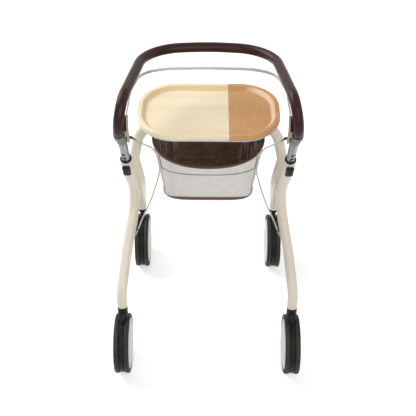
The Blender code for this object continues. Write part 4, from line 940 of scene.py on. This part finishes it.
# %% Handle bow and connectors
CONNECTOR_RADIUS = 0.0148
ELBOW_UP = 0.132
HANDLE_HEIGHT = 0.891
BEND = np.array([0.2215, *on_post(0.275)[1:]])
ELBOW = on_post(ELBOW_UP) + X_AXIS * 0.005
GRIP_END = [(0.0120, 0), (0.0147, 0), (0.0147, 0.0024), (0.0120, 0.0024)]


def on_handle_end(up, side):
    """A point on a handle end's axis, which leaves the post's axis at the elbow."""
    return (ELBOW + unit(BEND - ELBOW) * (up - ELBOW_UP)) * (side, 1, 1)


def tilted_rings(sections, rows=40, columns=64):
    """Loft of circles: centre + (side * cos a + up * sin a) * radius, all eased."""
    rings = [(*centre, *axis, radius) for centre, axis, radius in sections]
    rings = between(rings, np.linspace(0, 1, rows))
    axes = unit(rings[:, 3:6])
    side = unit(X_AXIS - axes * axes[:, :1])[:, None]
    ring = circle(1.0, columns)
    spokes = side * ring[:, :1] + np.cross(axes[:, None], side) * ring[:, 1:]
    return rings[:, None, :3] + spokes * rings[:, None, 6:]


bow = both_halves([on_handle_end(0.1533, -1), BEND * (-1, 1, 1), (-0.17375, 0.128, HANDLE_HEIGHT)],
                  (0.0, 0.145, HANDLE_HEIGHT))
bow = even_steps(rounded_path(bow, (0.055, 0.122, 0.600, 0.122, 0.055), 3), 0.003)
put("handle_grip", sweep(bow, circle(GRIP_RADIUS, 56)), "brown_leather", "handle",
    "handle_leather")
refinish("handle_tube", "silver_aluminium")
for hand, side in SIDES.items():
    tilt = unit(on_handle_end(0.153, side) - on_handle_end(0.135, side))
    rings = ((0.1080, 0.0126), (0.1095, 0.0139), (0.1170, CONNECTOR_RADIUS),
             (0.1290, CONNECTOR_RADIUS))
    sections = [(on_post(up, side), POST_UP, radius) for up, radius in rings]
    sections += [(on_handle_end(up, side), tilt, CONNECTOR_RADIUS) for up in (0.1370, 0.1530)]
    put("joint_sleeve_" + hand, tilted_rings(sections), "grey_plastic", "handle",
        "connector_" + hand)
    put_turned("grip_end_ring_" + hand, GRIP_END, 0.0005, on_handle_end(0.1531, side), tilt,
               64, "black_plastic", "handle")
print("handle bow is", length_of(bow), "m long")

# %% [markdown]
# ## Brake bar, blades and cables
#
# A flat silver bar under the handle works both brakes. Each end is held by a taupe blade that
# turns on the connector, with a black insert between blade and grip. From a barrel adjuster each
# cable hangs past the basket and goes into the rear leg. The adjusters are round, so they are
# turned pieces, and the cable is a round section carried along its smooth route.

# %% Brake bar
CONNECTOR_FACE = POST_X - CONNECTOR_RADIUS
half_bar = [(-CONNECTOR_FACE - 0.0015, -0.184, 0.866), (-0.2055, -0.030, 0.859),
            (-0.1845, 0.067, 0.852), (-0.120, 0.0950, 0.850)]
bar_path = rounded_path(both_halves(half_bar, (0.0, 0.1000, 0.850)),
                        (0.150, 0.070, 0.150, 0.900, 0.150, 0.070, 0.150), 3)
put("brake_bow", sweep(even_steps(bar_path, 0.003), oblong(0.003, 0.009, 0.0012)),
    "silver_aluminium", "brake_bar", "brake_bar")
print("brake bar is", length_of(bar_path), "m long")

# %% Blades with their inserts and studs
BLADE_X = CONNECTOR_FACE - 0.0026
BLADE_WIDTH = 0.0046
BLADE_UP = 0.126
TAIL = 0.013
STUD = [(0, 0.0024), (0.0024, 0.0024), (0.0030, 0.0018), (0.0030, -0.0026), (0, -0.0026)]


def filler(path, side, radius, low, high):
    """A plate outside the blade: its width goes from low at its foot to high at its tip."""
    grid = rounded_plate(path, radius, 1.0, 0.0006)
    up = np.clip((grid[..., 2] - path[0, 2]) / (path[-1, 2] - path[0, 2]), 0, 1)
    share = (grid[..., 0] - path[0, 0]) * side + 0.5
    grid[..., 0] = (BLADE_X + 0.0022 + share * (low + (high - low) * up)) * side
    return grid


def blade(hand, side):
    """The blade with its tail, the insert and the heel that fill its outer side, and its stud."""
    pivot = on_post(BLADE_UP) * (0, 1, 1) + X_AXIS * BLADE_X * side
    tip = np.array([BLADE_X * side, -0.180, 0.874])
    waist = np.array([BLADE_X * side, pivot[1] - 0.009, (pivot[2] + tip[2]) / 2])
    line = even_steps(smooth_curve([pivot, waist, tip]), 0.003)
    tail = even_steps(smooth_curve([pivot - POST_UP * TAIL, pivot, waist, tip]), 0.003)
    put("blade_" + hand, rounded_plate(tail, 0.0065, BLADE_WIDTH, 0.0009), "taupe_plastic",
        "brake_bar", "brake_blade_" + hand)
    half = len(line) // 2
    put("blade_insert_" + hand, filler(line[half:], side, 0.0052, 0.0075, 0.0038),
        "black_plastic", "brake_bar")
    put("blade_heel_" + hand, filler(line[half // 2:half], side, 0.0056, 0.0044, 0.0074),
        "taupe_plastic", "brake_bar")
    put_turned("blade_stud_" + hand, STUD, 0.0006, pivot - X_AXIS * side * 0.001,
               -X_AXIS * side, 32, "grey_plastic", "handle")


print("blade is", BLADE_WIDTH * 1000, "mm thick")

# %% Cable adjusters
plain_finish("adjuster_dark", (0.045, 0.036, 0.026), (0.075, 0.058, 0.04), (0.3, 0.45), 300, 2500,
             0.00004, Metallic=0.5)
BARREL = [(0, 0), (0.0032, 0), (0.0038, 0.0012), (0.0038, 0.0088), (0.0032, 0.0094), (0, 0.0094)]
SLEEVE = [(0, 0.0092), (0.0029, 0.0092), (0.0029, 0.0175), (0.0024, 0.0190), (0, 0.0190)]
ADJUSTER_UP = 0.122
ADJUSTER_LENGTH = 0.019
KNURL_SIDES = 72
KNURL_DEPTH = 0.06


def adjuster_ends(side):
    """The adjuster's seat on the connector, and its lower end."""
    start = on_post(ADJUSTER_UP) * (0, 1, 1) + ((CONNECTOR_FACE - 0.0052) * side, 0.010, 0)
    return start, start + unit((-0.70 * side, 0.21, -0.69)) * ADJUSTER_LENGTH


def adjuster(hand, side):
    """A knurled barrel, every other column of which lies 6% nearer the axis, and its sleeve."""
    start, end = adjuster_ends(side)
    axis = unit(end - start)
    knurl = turned(soft_profile(BARREL, 0.0004, closed=False), start, axis, KNURL_SIDES)
    core = start + axis * ((knurl - start) @ axis)[..., None]
    inset = KNURL_DEPTH * (np.arange(KNURL_SIDES) % 2)
    knurl = core + (knurl - core) * (1 - inset)[:, None]
    node = "cable_adjuster_" + hand
    put("adjuster_nut_" + hand, knurl, "adjuster_dark", "handle", node, "brass_brown",
        caps=False)
    put_turned("adjuster_sleeve_" + hand, SLEEVE, 0.0004, start, axis, 40, "brass_brown",
               "handle", node)


for hand, side in SIDES.items():
    blade(hand, side)
    adjuster(hand, side)
print("each barrel has", KNURL_SIDES // 2, "ribs")

# %% Cables
CABLE_FREE = np.array([
    (0.1754, -0.161, 0.783), (0.1580, -0.158, 0.771), (0.1455, -0.155, 0.761),
    (0.1375, -0.151, 0.743), (0.1311, -0.144, 0.714), (0.1299, -0.137, 0.685),
    (0.1311, -0.132, 0.664), (0.1413, -0.118, 0.614), (0.1550, -0.105, 0.561),
    (0.1672, -0.095, 0.519), (0.1911, -0.078, 0.449), (0.2060, -0.074, 0.404),
    (0.2165, -0.078, 0.383),
])
CABLE_RADIUS = 0.0021
IN_LEG = (0.245, 0.372)
GROMMET = [(0.0022, -0.0015), (0.0034, -0.0015), (0.0034, 0.0022), (0.0022, 0.0022)]

for hand, side in SIDES.items():
    start, end = adjuster_ends(side)
    leg = rear_leg_path(side)[::-1]
    inside = leg[(leg[:, 2] > IN_LEG[0]) & (leg[:, 2] < IN_LEG[1])]
    free = CABLE_FREE * (side, 1, 1)
    route = np.concatenate([[end - unit(end - start) * 0.0005], free, inside])
    line = even_steps(smooth_curve(route), 0.003)
    cable = put("cable_" + hand, sweep(line, circle(CABLE_RADIUS, 20)), "cable_jacket", None,
                "brake_cable_" + hand)
    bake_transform(cable)
    towards = free[-3] - free[-2]
    put_turned("cable_grommet_" + hand, GROMMET, 0.0006, free[-2] + towards * 0.08, towards,
               32, "black_plastic", "rear_frame")
print("cable is", length_of(line), "m long")

# %% [markdown]
# ## Tray
#
# The tray is pressed birch with a cork end, in one outline with large round corners. A raised
# lip runs all round a sunk floor. The shape is one profile, of distance in from the edge and
# height, carried round the outline, and a cut across it splits wood from cork.

# %% Birch and cork
TRAY_Y = 0.0445
CORK_SCALE = 560.0


def slope_share(place):
    """1 on the slope inside the lip, and the normal's x.

    The slope is where the normal leans from upright, and leans towards the tray's middle:
    normal . (place - middle) < 0.
    """
    normal = place.node.outputs["Normal"]
    parts = split(normal)
    sockets = {0: place, 1: (1, 1, 0), 2: (0, -TRAY_Y, 0)}
    off = add("VectorMath", sockets, operation="MULTIPLY_ADD").outputs[0]
    lean = add("VectorMath", {0: normal, 1: off}, operation="DOT_PRODUCT").outputs["Value"]
    steep = ramp(parts[2], 0.80, 0.97, 1.0, 0.0)
    return product(steep, sums("LESS_THAN", lean, 0.0)), parts[0]


def birch_finish():
    """Lacquered birch: grain lines along X from noise stretched seventy times, and bands.

    The slope inside the lip has painted shade: it is made darker and more golden.
    """
    shader, place, _ = new_finish("birch", Coat_Weight=0.25, Coat_Roughness=0.2)
    broad = ramp(noise(place, (1.2, 26, 4), 4.0), 0.35, 0.65)
    colour = mixed(broad, (0.87, 0.755, 0.545), (0.82, 0.69, 0.46))
    fine = noise(place, (9, 620, 60), 3.0)
    streak = product(ramp(fine, 0.55, 0.80), 0.45)
    colour = mixed(streak, colour, (0.66, 0.50, 0.29))
    # Painted shade: the slope inside the lip is made darker and more golden.
    slope = product(slope_share(place)[0], 0.8)
    colour = mixed(slope, colour, (0.74, 0.54, 0.26))
    cover(shader, place, colour, (0.38, 0.50), 700, 0.00005, fine)


def cork_finish():
    """Cork: Voronoi granules of several browns, with small dark pits between some of them.

    Slopes that face -X, towards the key lamp, have a painted highlight.
    """
    shader, place, _ = new_finish("cork", Specular_IOR_Level=0.3)
    grains = add("TexVoronoi", {"Vector": place, "Scale": CORK_SCALE})
    tone = add("SeparateColor", {0: grains.outputs["Color"]}).outputs
    colour = mixed(tone[0], (0.56, 0.30, 0.125), (0.65, 0.375, 0.18))
    colour = mixed(ramp(tone[1], 0.84, 0.94), colour, (0.42, 0.20, 0.085))
    pit = ramp(noise(place, 420.0, 2.0), 0.62, 0.72)
    colour = mixed(product(pit, 0.5), colour, (0.30, 0.13, 0.05))
    # Painted highlight: slopes that face -X, towards the key lamp, are made lighter.
    slope, across = slope_share(place)
    slope = product(slope, ramp(across, -0.10, -0.40, 0.0, 0.85))
    link(mixed(slope, colour, (0.86, 0.65, 0.46)), shader["Base Color"])
    link(ramp(tone[2], 0, 1, 0.68, 0.85), shader["Roughness"])
    bump(shader, sums("SUBTRACT", product(tone[2], 0.4), pit), 0.0002)


birch_finish()
cork_finish()
print("cork granules are about", round(1000 / CORK_SCALE, 1), "mm")

# %% Tray outline
TRAY_HALF = np.array([0.198, 0.133])
TRAY_CORNER = 0.110
CORK_FROM_X = 0.056
CUT_GAP = 0.0001
CUT_SHARP_EDGE = math.radians(50)


def tray_grid(profile, steps=26):
    """Rows of (inset, height): rectangles whose corners are quarter circles of corner - inset."""
    angle = math.pi / 2 * (np.arange(4)[:, None] + np.linspace(0, 1, steps))
    sign = np.array([(1, 1), (-1, 1), (-1, -1), (1, -1)])[:, None]
    centre = sign * (TRAY_HALF - TRAY_CORNER) + (0, TRAY_Y)
    spoke = np.stack([np.cos(angle), np.sin(angle)], axis=-1)
    inset, height = profile.T[..., None, None, None]
    rings = centre + (TRAY_CORNER - inset) * spoke
    heights = np.broadcast_to(height, (*rings.shape[:-1], 1))
    return np.concatenate([rings, heights], axis=-1).reshape(len(profile), -1, 3)


def half_of(mesh, x, keep_right):
    """One side of a plane across X, with the cut face filled."""
    work = bmesh.new()
    work.from_mesh(mesh)
    geometry = work.verts[:] + work.edges[:] + work.faces[:]
    cut = bmesh.ops.bisect_plane(work, geom=geometry, plane_co=(x, 0, 0), plane_no=(1, 0, 0),
                                 clear_inner=keep_right, clear_outer=not keep_right)
    edges = [item for item in cut["geom_cut"] if isinstance(item, bmesh.types.BMEdge)]
    bmesh.ops.contextual_create(work, geom=edges)
    result = bpy.data.meshes.new(mesh.name + "_half")
    work.to_mesh(result)
    work.free()
    result.shade_smooth()
    result.set_sharp_from_angle(angle=CUT_SHARP_EDGE)
    return result


print("tray is", 2000 * TRAY_HALF, "mm")

# %% Board, cork end, pan and saddles
board = tray_grid(rounded_path([
    (0.020, 0.7370), (0.0015, 0.7370), (0.0, 0.7390), (0.0, 0.7530), (0.0135, 0.7530),
    (0.0235, 0.7415), (0.0400, 0.7415),
], (0.001, 0.002, 0.0035, 0.0045, 0.0060), 10, share=0.45))
for name, keep_right, node, finish in (("tray_birch", False, "tray_board", "birch"),
                                       ("tray_corkwood", True, "tray_cork", "cork")):
    cut_x = CORK_FROM_X + (CUT_GAP if keep_right else -CUT_GAP)
    piece(name, half_of(skin(name, board), cut_x, keep_right), finish, "tray", node)

pan = tray_grid(rounded_path([
    (0.030, 0.7317), (0.0040, 0.7317), (0.0010, 0.7345), (0.0010, 0.7367), (0.03, 0.7367),
], (0.002, 0.001, 0.0005), 15, share=0.45))
put("tray_underside", pan, "pan_grey", "tray", "tray_pan")

SADDLE_RADIUS = 0.0155
SADDLE_X = 0.075
angle = np.radians(np.linspace(22, 158, 25))
arch = (BRIDGE_Y, BRIDGE_HEIGHT) + np.stack([np.cos(angle), np.sin(angle)], axis=1) * SADDLE_RADIUS
block = [(0.023, 0.7110), (0.023, 0.7325), (0.067, 0.7325), (0.067, 0.7110)]
section = np.concatenate([block, arch])
for hand, side in SIDES.items():
    spread = side * SADDLE_X + np.array([-0.020, -0.0192, 0.0192, 0.020])
    rows = np.array([np.column_stack([np.full(len(section), x), section]) for x in spread])
    put("tray_saddle_" + hand, rows, "pan_grey", "tray", "tray_pan")
print("pan has", len(pan), "rows")

# %% [markdown]
# ## Basket
#
# The bag hangs from an oval rim on two brackets. Outside it is pale woven cloth with a pocket
# towards the user, thin piping at the pocket's corners, and a brown sole below. Inside it is
# a glossy dark lining. Bag and lining share one shape: a rounded box below that opens into an
# oval above, |x / a|^n + |y / b|^n = 1, with folds added along its normal.

# %% Cloth and lining
THREAD = 0.0011


def cloth_finish():
    """Woven cloth: threads of two near tones, slow drift, and the weave as bump."""
    shader, place, flat = new_finish("greige_fabric", Sheen_Weight=0.25, Sheen_Roughness=0.5)
    weave = use(WEAVE, Vector=flat, Thread=THREAD)
    drift = use(DRIFT, Vector=place, Scale=45, One=(0.70, 0.672, 0.635),
                Other=(0.635, 0.605, 0.568))["Colour"]
    colour = mixed(weave["Warp"], drift, mixed(0.5, drift, (0.76, 0.735, 0.70)))
    cover(shader, place, colour, (0.78, 0.92), 1200, 0.00012, weave["Height"])


def lining_finish():
    """Glossy dark lining, with lighter upright streaks near the corners: painted highlights.

    A streak is noise read at (x * 140, y * 140, z * 5), kept where |x| is large.
    """
    shader, place, plain = plain_finish(
        "dark_lining", (0.20, 0.122, 0.078), (0.25, 0.160, 0.108), (0.22, 0.34), 30, 900, 0.00012,
        Coat_Weight=0.9, Coat_Roughness=0.12)
    # Painted highlight: lighter upright streaks near the sides of the bag, where |x| is large.
    share = ramp(distance(split(place)[0]), 0.085, 0.110)
    streak = ramp(noise(place, (140, 140, 5), 1.0), 0.50, 0.62)
    colour = mixed(product(share, streak), plain, (0.72, 0.62, 0.54))
    link(colour, shader["Base Color"])


cloth_finish()
lining_finish()
plain_finish("sole_brown", (0.122, 0.060, 0.039), (0.096, 0.045, 0.029), (0.50, 0.64), 60, 1600,
             0.00008)
plain_finish("fine_piping", (0.16, 0.12, 0.09), (0.12, 0.085, 0.06), (0.55, 0.7), 200, 2500,
             0.00008)
plain_finish("lining_seam", (0.34, 0.23, 0.16), (0.27, 0.18, 0.12), (0.35, 0.5), 90, 1500, 0.00008)
print("cloth threads are", THREAD * 1000, "mm")

# %% The bag's surface
RIM_HALF = (0.156, 0.148)
RIM_Y = 0.020
RIM_HEIGHT = 0.678
RIM_ROUND = 2.2
FLOOR_HALF = (0.129, 0.092)
FLOOR_Y = 0.040
FLOOR_HEIGHT = 0.5166
FLOOR_ROUND = 4.6
BAG_RISE = RIM_HEIGHT - 0.0035 - FLOOR_HEIGHT
BAG_BULGE = 0.80
ANGLES = full_turn(288)


def oval(half, roundness, centre_y, angle):
    """x = a * sign(cos t) * |cos t|^(2/n), y = b * sign(sin t) * |sin t|^(2/n)."""
    power = 2 / roundness
    x, y = (size * np.sign(wave) * np.abs(wave) ** power
            for size, wave in zip(half, (np.cos(angle), np.sin(angle))))
    return np.stack([x, centre_y + y], axis=-1)


def bag_point(level, angle, out=0.0):
    """The bag's surface at a level from floor (0) to rim (1) and an angle round it.

    The outline slides from the floor's to the rim's with level^0.8, and out moves the point away
    from the bag's middle line along the outline's normal. Below the floor the wall is upright.
    """
    level, angle, out = np.broadcast_arrays(level, angle, out)
    share = (np.clip(level, 0, 1) ** BAG_BULGE)[..., None]
    here, next_to_it = (
        oval(FLOOR_HALF, FLOOR_ROUND, FLOOR_Y, turn) * (1 - share)
        + oval(RIM_HALF, RIM_ROUND, RIM_Y, turn) * share for turn in (angle, angle + 1e-3))
    tangent = unit(next_to_it - here + 1e-12)
    normal = np.stack([tangent[..., 1], -tangent[..., 0]], axis=-1)
    height = FLOOR_HEIGHT + BAG_RISE * level
    return np.concatenate([here + normal * out[..., None], height[..., None]], axis=-1)


print("bag's mouth is", [2000 * size for size in RIM_HALF], "mm")

# %% Bag of cloth with its pocket
POCKET_ENDS = {"left": math.radians(212), "right": math.radians(328)}
POCKET_PROUD = 0.0014


def pocket_level(angle):
    """Level of the pocket's top edge: a gentle arc, highest in the middle."""
    x = oval(RIM_HALF, RIM_ROUND, RIM_Y, angle)[..., 0]
    height = 0.645 - 0.020 * (x / 0.130) ** 2
    return (height - FLOOR_HEIGHT) / BAG_RISE


def inside_pocket(angle, soft=0.03):
    """1 between the pocket's two corners, 0 outside, with a soft step."""
    rise = 1 / (1 + np.exp(-(angle - POCKET_ENDS["left"]) / soft * 4))
    fall = 1 / (1 + np.exp((angle - POCKET_ENDS["right"]) / soft * 4))
    return rise * fall


def outer_folds(level, angle):
    """Small bulges of the cloth: a few waves that fade at rim and floor."""
    fade = np.sin(np.pi * np.clip(level, 0, 1))
    wave = 0.45 * np.sin(3 * angle + 2.1 * level) + 0.3 * np.sin(7 * angle - 4 * level + 1.3)
    ripple = 0.22 * np.sin(19 * angle + 9 * level) * np.sin(5 * level + 2)
    return 0.0011 * fade * (wave + ripple)


levels = np.linspace(-0.080, 1, 76)[:, None]
proud = POCKET_PROUD * inside_pocket(ANGLES) / (1 + np.exp((levels - pocket_level(ANGLES)) * 160))
shell = bag_point(levels, ANGLES, outer_folds(levels, ANGLES) + proud)
put("basket_cloth", shell, "greige_fabric", "front_frame", "basket_bag", caps=False, inward=False)
print("bag is", round(1000 * float(np.ptp(shell[..., 0]))), "mm wide")

# %% Lining
inner = np.linspace(0.019, 1, 72)[:, None]
fold = 0.5 * np.sin(11 * ANGLES + 3 * inner) + 0.35 * np.sin(23 * ANGLES - 5 * inner)
at_corner = np.exp(-((np.cos(2 * ANGLES) - 0.15) / 0.30) ** 2)
fold = fold + 3.0 * at_corner * np.sin(33 * ANGLES + 0.6)
lining = bag_point(inner, ANGLES, -0.0038 + 0.0012 * np.sin(np.pi * inner) ** 0.6 * fold)
centre = np.array([0, FLOOR_Y, FLOOR_HEIGHT + 0.0030])
spread = np.array([0.0, 0.30, 0.60, 0.85, 0.97])[:, None, None]
lining_floor = centre + (lining[:1] - centre) * spread
lining_floor[..., 2] = centre[2] + 0.0006 * np.sin(9 * ANGLES) * spread[..., 0] ** 2
put("basket_lining", np.concatenate([lining_floor, lining]), "dark_lining", "front_frame",
    slot="brown_trim", caps=False, inward=True)
seam_line = np.concatenate([lining[0], lining[0, :1]]) + Z_AXIS * 0.0006
put("basket_floor_seam", sweep(seam_line, circle(0.0011, 12)), "lining_seam", "front_frame",
    slot="brown_trim")
print("lining has", lining_floor.shape[0], "rings in its floor")

# %% Rim, brackets and piping
rim_line = bag_point(np.array(1.0), ANGLES) * (1, 1, 0) + Z_AXIS * RIM_HEIGHT
closed_line = np.concatenate([rim_line[-1:], rim_line, rim_line[:1]])
put("basket_binding", sweep(closed_line, oblong(0.0058, 0.0074, 0.0028))[1:-1], "brown_trim",
    "front_frame", "basket_rim", along=True)

for hand, side in SIDES.items():
    leg = front_leg_path(side)
    leg_x = leg[np.argmin(np.abs(leg[:, 2] - RIM_HEIGHT) + (leg[:, 1] > 0.1)), 0]
    arm = np.array([(x, BRIDGE_Y, RIM_HEIGHT) for x in (side * 0.1545, leg_x - side * 0.0145)])
    put("basket_bracket_" + hand,
        sweep(even_steps(arm, 0.003), oblong(0.024, 0.012, 0.004), Y_AXIS), "brown_trim",
        "front_frame", "basket_rim")

pocket_angles = np.linspace(*POCKET_ENDS.values(), 90)
edge = bag_point(pocket_level(pocket_angles), pocket_angles, 0.0016)
run = np.linspace(0.03, 0.985, 60)
cords = {"pocket_edge": (edge, 0.0008)}
for name, corner in POCKET_ENDS.items():
    cords["piping_" + name] = (bag_point(run, corner, outer_folds(run, corner) + 0.0009), 0.0010)
for name, (line, radius) in cords.items():
    put(name, sweep(even_steps(line, 0.003), circle(radius, 16), Y_AXIS), "fine_piping",
        "front_frame", slot="brown_trim")
print("rim is", length_of(rim_line), "m round")

# %% Sole
SOLE_ROWS = ((0.0, -0.0060), (0.0, -0.0030), (0.02, -0.0008), (0.06, 0.0008), (0.30, 0.0018),
             (0.60, 0.0026), (0.94, 0.0028), (1.0, 0.0018), (0.97, -0.0004))
SOLE_HALF = 0.124
SOLE_TOP = 0.5062
SOLE_BOTTOM = 0.5028


def sole_grid():
    """A sole under the bag: rows of (share of its height, distance out).

    It is highest in the middle of the front and the back, and thin at the corners, by
    1 - (x / half width)^4.
    """
    front = np.clip(1 - (bag_point(0.0, ANGLES)[:, 0] / SOLE_HALF) ** 4, 0, 1)
    top = SOLE_TOP + 0.0104 * front
    bottom = SOLE_BOTTOM - 0.0010 * front
    rows = []
    for share, out in SOLE_ROWS:
        row = bag_point(0.0, ANGLES, out)
        row[:, 2] = bottom + (top - bottom) * share
        rows.append(row)
    return np.array(rows)


put("basket_bottom", sole_grid(), "sole_brown", "front_frame", "basket_base", "brown_trim")
print("sole has", len(SOLE_ROWS), "rows")

# %% [markdown]
# ## Floor, light and camera
#
# The photograph is a studio cut: soft light from the upper left, a white floor and faint
# shadows. The camera looks from behind the user, forty degrees down. The floor and the world are
# white to the camera and to reflections, and the lamps stay at a plain level.

# %% World and floor
AMBIENT = 0.31
FLOOR_GLOW = 0.44
FLOOR_HALF_SIZE = 9


def white_to_camera(strength, otherwise, seen):
    """Drive a strength: one value for rays from the camera, a mirror or glass, else another."""
    path = add("LightPath", {}, strength.id_data).outputs
    rays = sums("MAXIMUM", path["Is Camera Ray"], path["Is Glossy Ray"])
    rays = sums("MAXIMUM", rays, path["Is Transmission Ray"])
    link(ramp(rays, 0, 1, otherwise, seen), strength)


def make_world():
    """Soft grey light all round, white where it is seen."""
    world = bpy.data.worlds.new("studio")
    bpy.context.scene.world = world
    world.use_nodes = True
    background = world.node_tree.nodes["Background"].inputs
    background["Color"].default_value = (1, 1, 1, 1)
    white_to_camera(background["Strength"], AMBIENT, 1.0)


def make_floor():
    """A wide white floor: it takes the shadows, and a little glow lifts it to white."""
    mesh = bpy.data.meshes.new("floor")
    corners = np.array([(-1, -1, 0), (1, -1, 0), (1, 1, 0), (-1, 1, 0)]) * FLOOR_HALF_SIZE
    mesh.from_pydata(corners, [], [(0, 1, 2, 3)])
    floor = bpy.data.objects.new("floor", mesh)
    bpy.context.scene.collection.objects.link(floor)
    shader, _, _ = new_finish("floor_white", Base_Color=(0.86, 0.86, 0.86, 1), Roughness=0.9,
                              Specular_IOR_Level=0.0, Emission_Color=(1, 1, 1, 1))
    white_to_camera(shader["Emission Strength"], 0.0, FLOOR_GLOW)
    mesh.materials.append(FINISH["floor_white"])


make_world()
make_floor()
print("floor is", 2 * FLOOR_HALF_SIZE, "m wide")

# %% Lamps
LAMP_TARGET = np.array([0, 0, 0.4])


def make_lamp(name, place, size, power):
    """A square soft lamp that faces the target."""
    light = bpy.data.lights.new(name, "AREA")
    light.size = size
    light.energy = power
    lamp = bpy.data.objects.new(name, light)
    bpy.context.scene.collection.objects.link(lamp)
    away = unit(place - LAMP_TARGET)
    side = unit(np.cross(Z_AXIS, away))
    lamp.matrix_world = Matrix((side, np.cross(away, side), away)).transposed().to_4x4()
    lamp.location = place


make_lamp("key", (-2.3, 1.4, 2.9), 2.5, 114)
make_lamp("front", (0.6, -2.8, 2.4), 2.6, 60)
make_lamp("fill", (2.8, 0.4, 1.6), 2.0, 12)

# %% Camera
LOOK_DOWN = math.radians(40)
ROLL = math.radians(0.38)
CAMERA_AT = (0.0003, -1.961, 2.075)
LENS_MM = 74.25

camera = bpy.data.objects.new("camera", bpy.data.cameras.new("camera"))
bpy.context.scene.collection.objects.link(camera)
camera.data.sensor_width = 36
camera.data.lens = LENS_MM
turn = Matrix.Rotation(math.pi / 2 - LOOK_DOWN, 4, "X") @ Matrix.Rotation(ROLL, 4, "Z")
camera.matrix_world = Matrix.Translation(CAMERA_AT) @ turn
bpy.context.scene.camera = camera
bpy.context.scene.view_settings.view_transform = "Standard"
print("camera looks down by", round(math.degrees(LOOK_DOWN)), "degrees")

# %% Done
print("scene built")
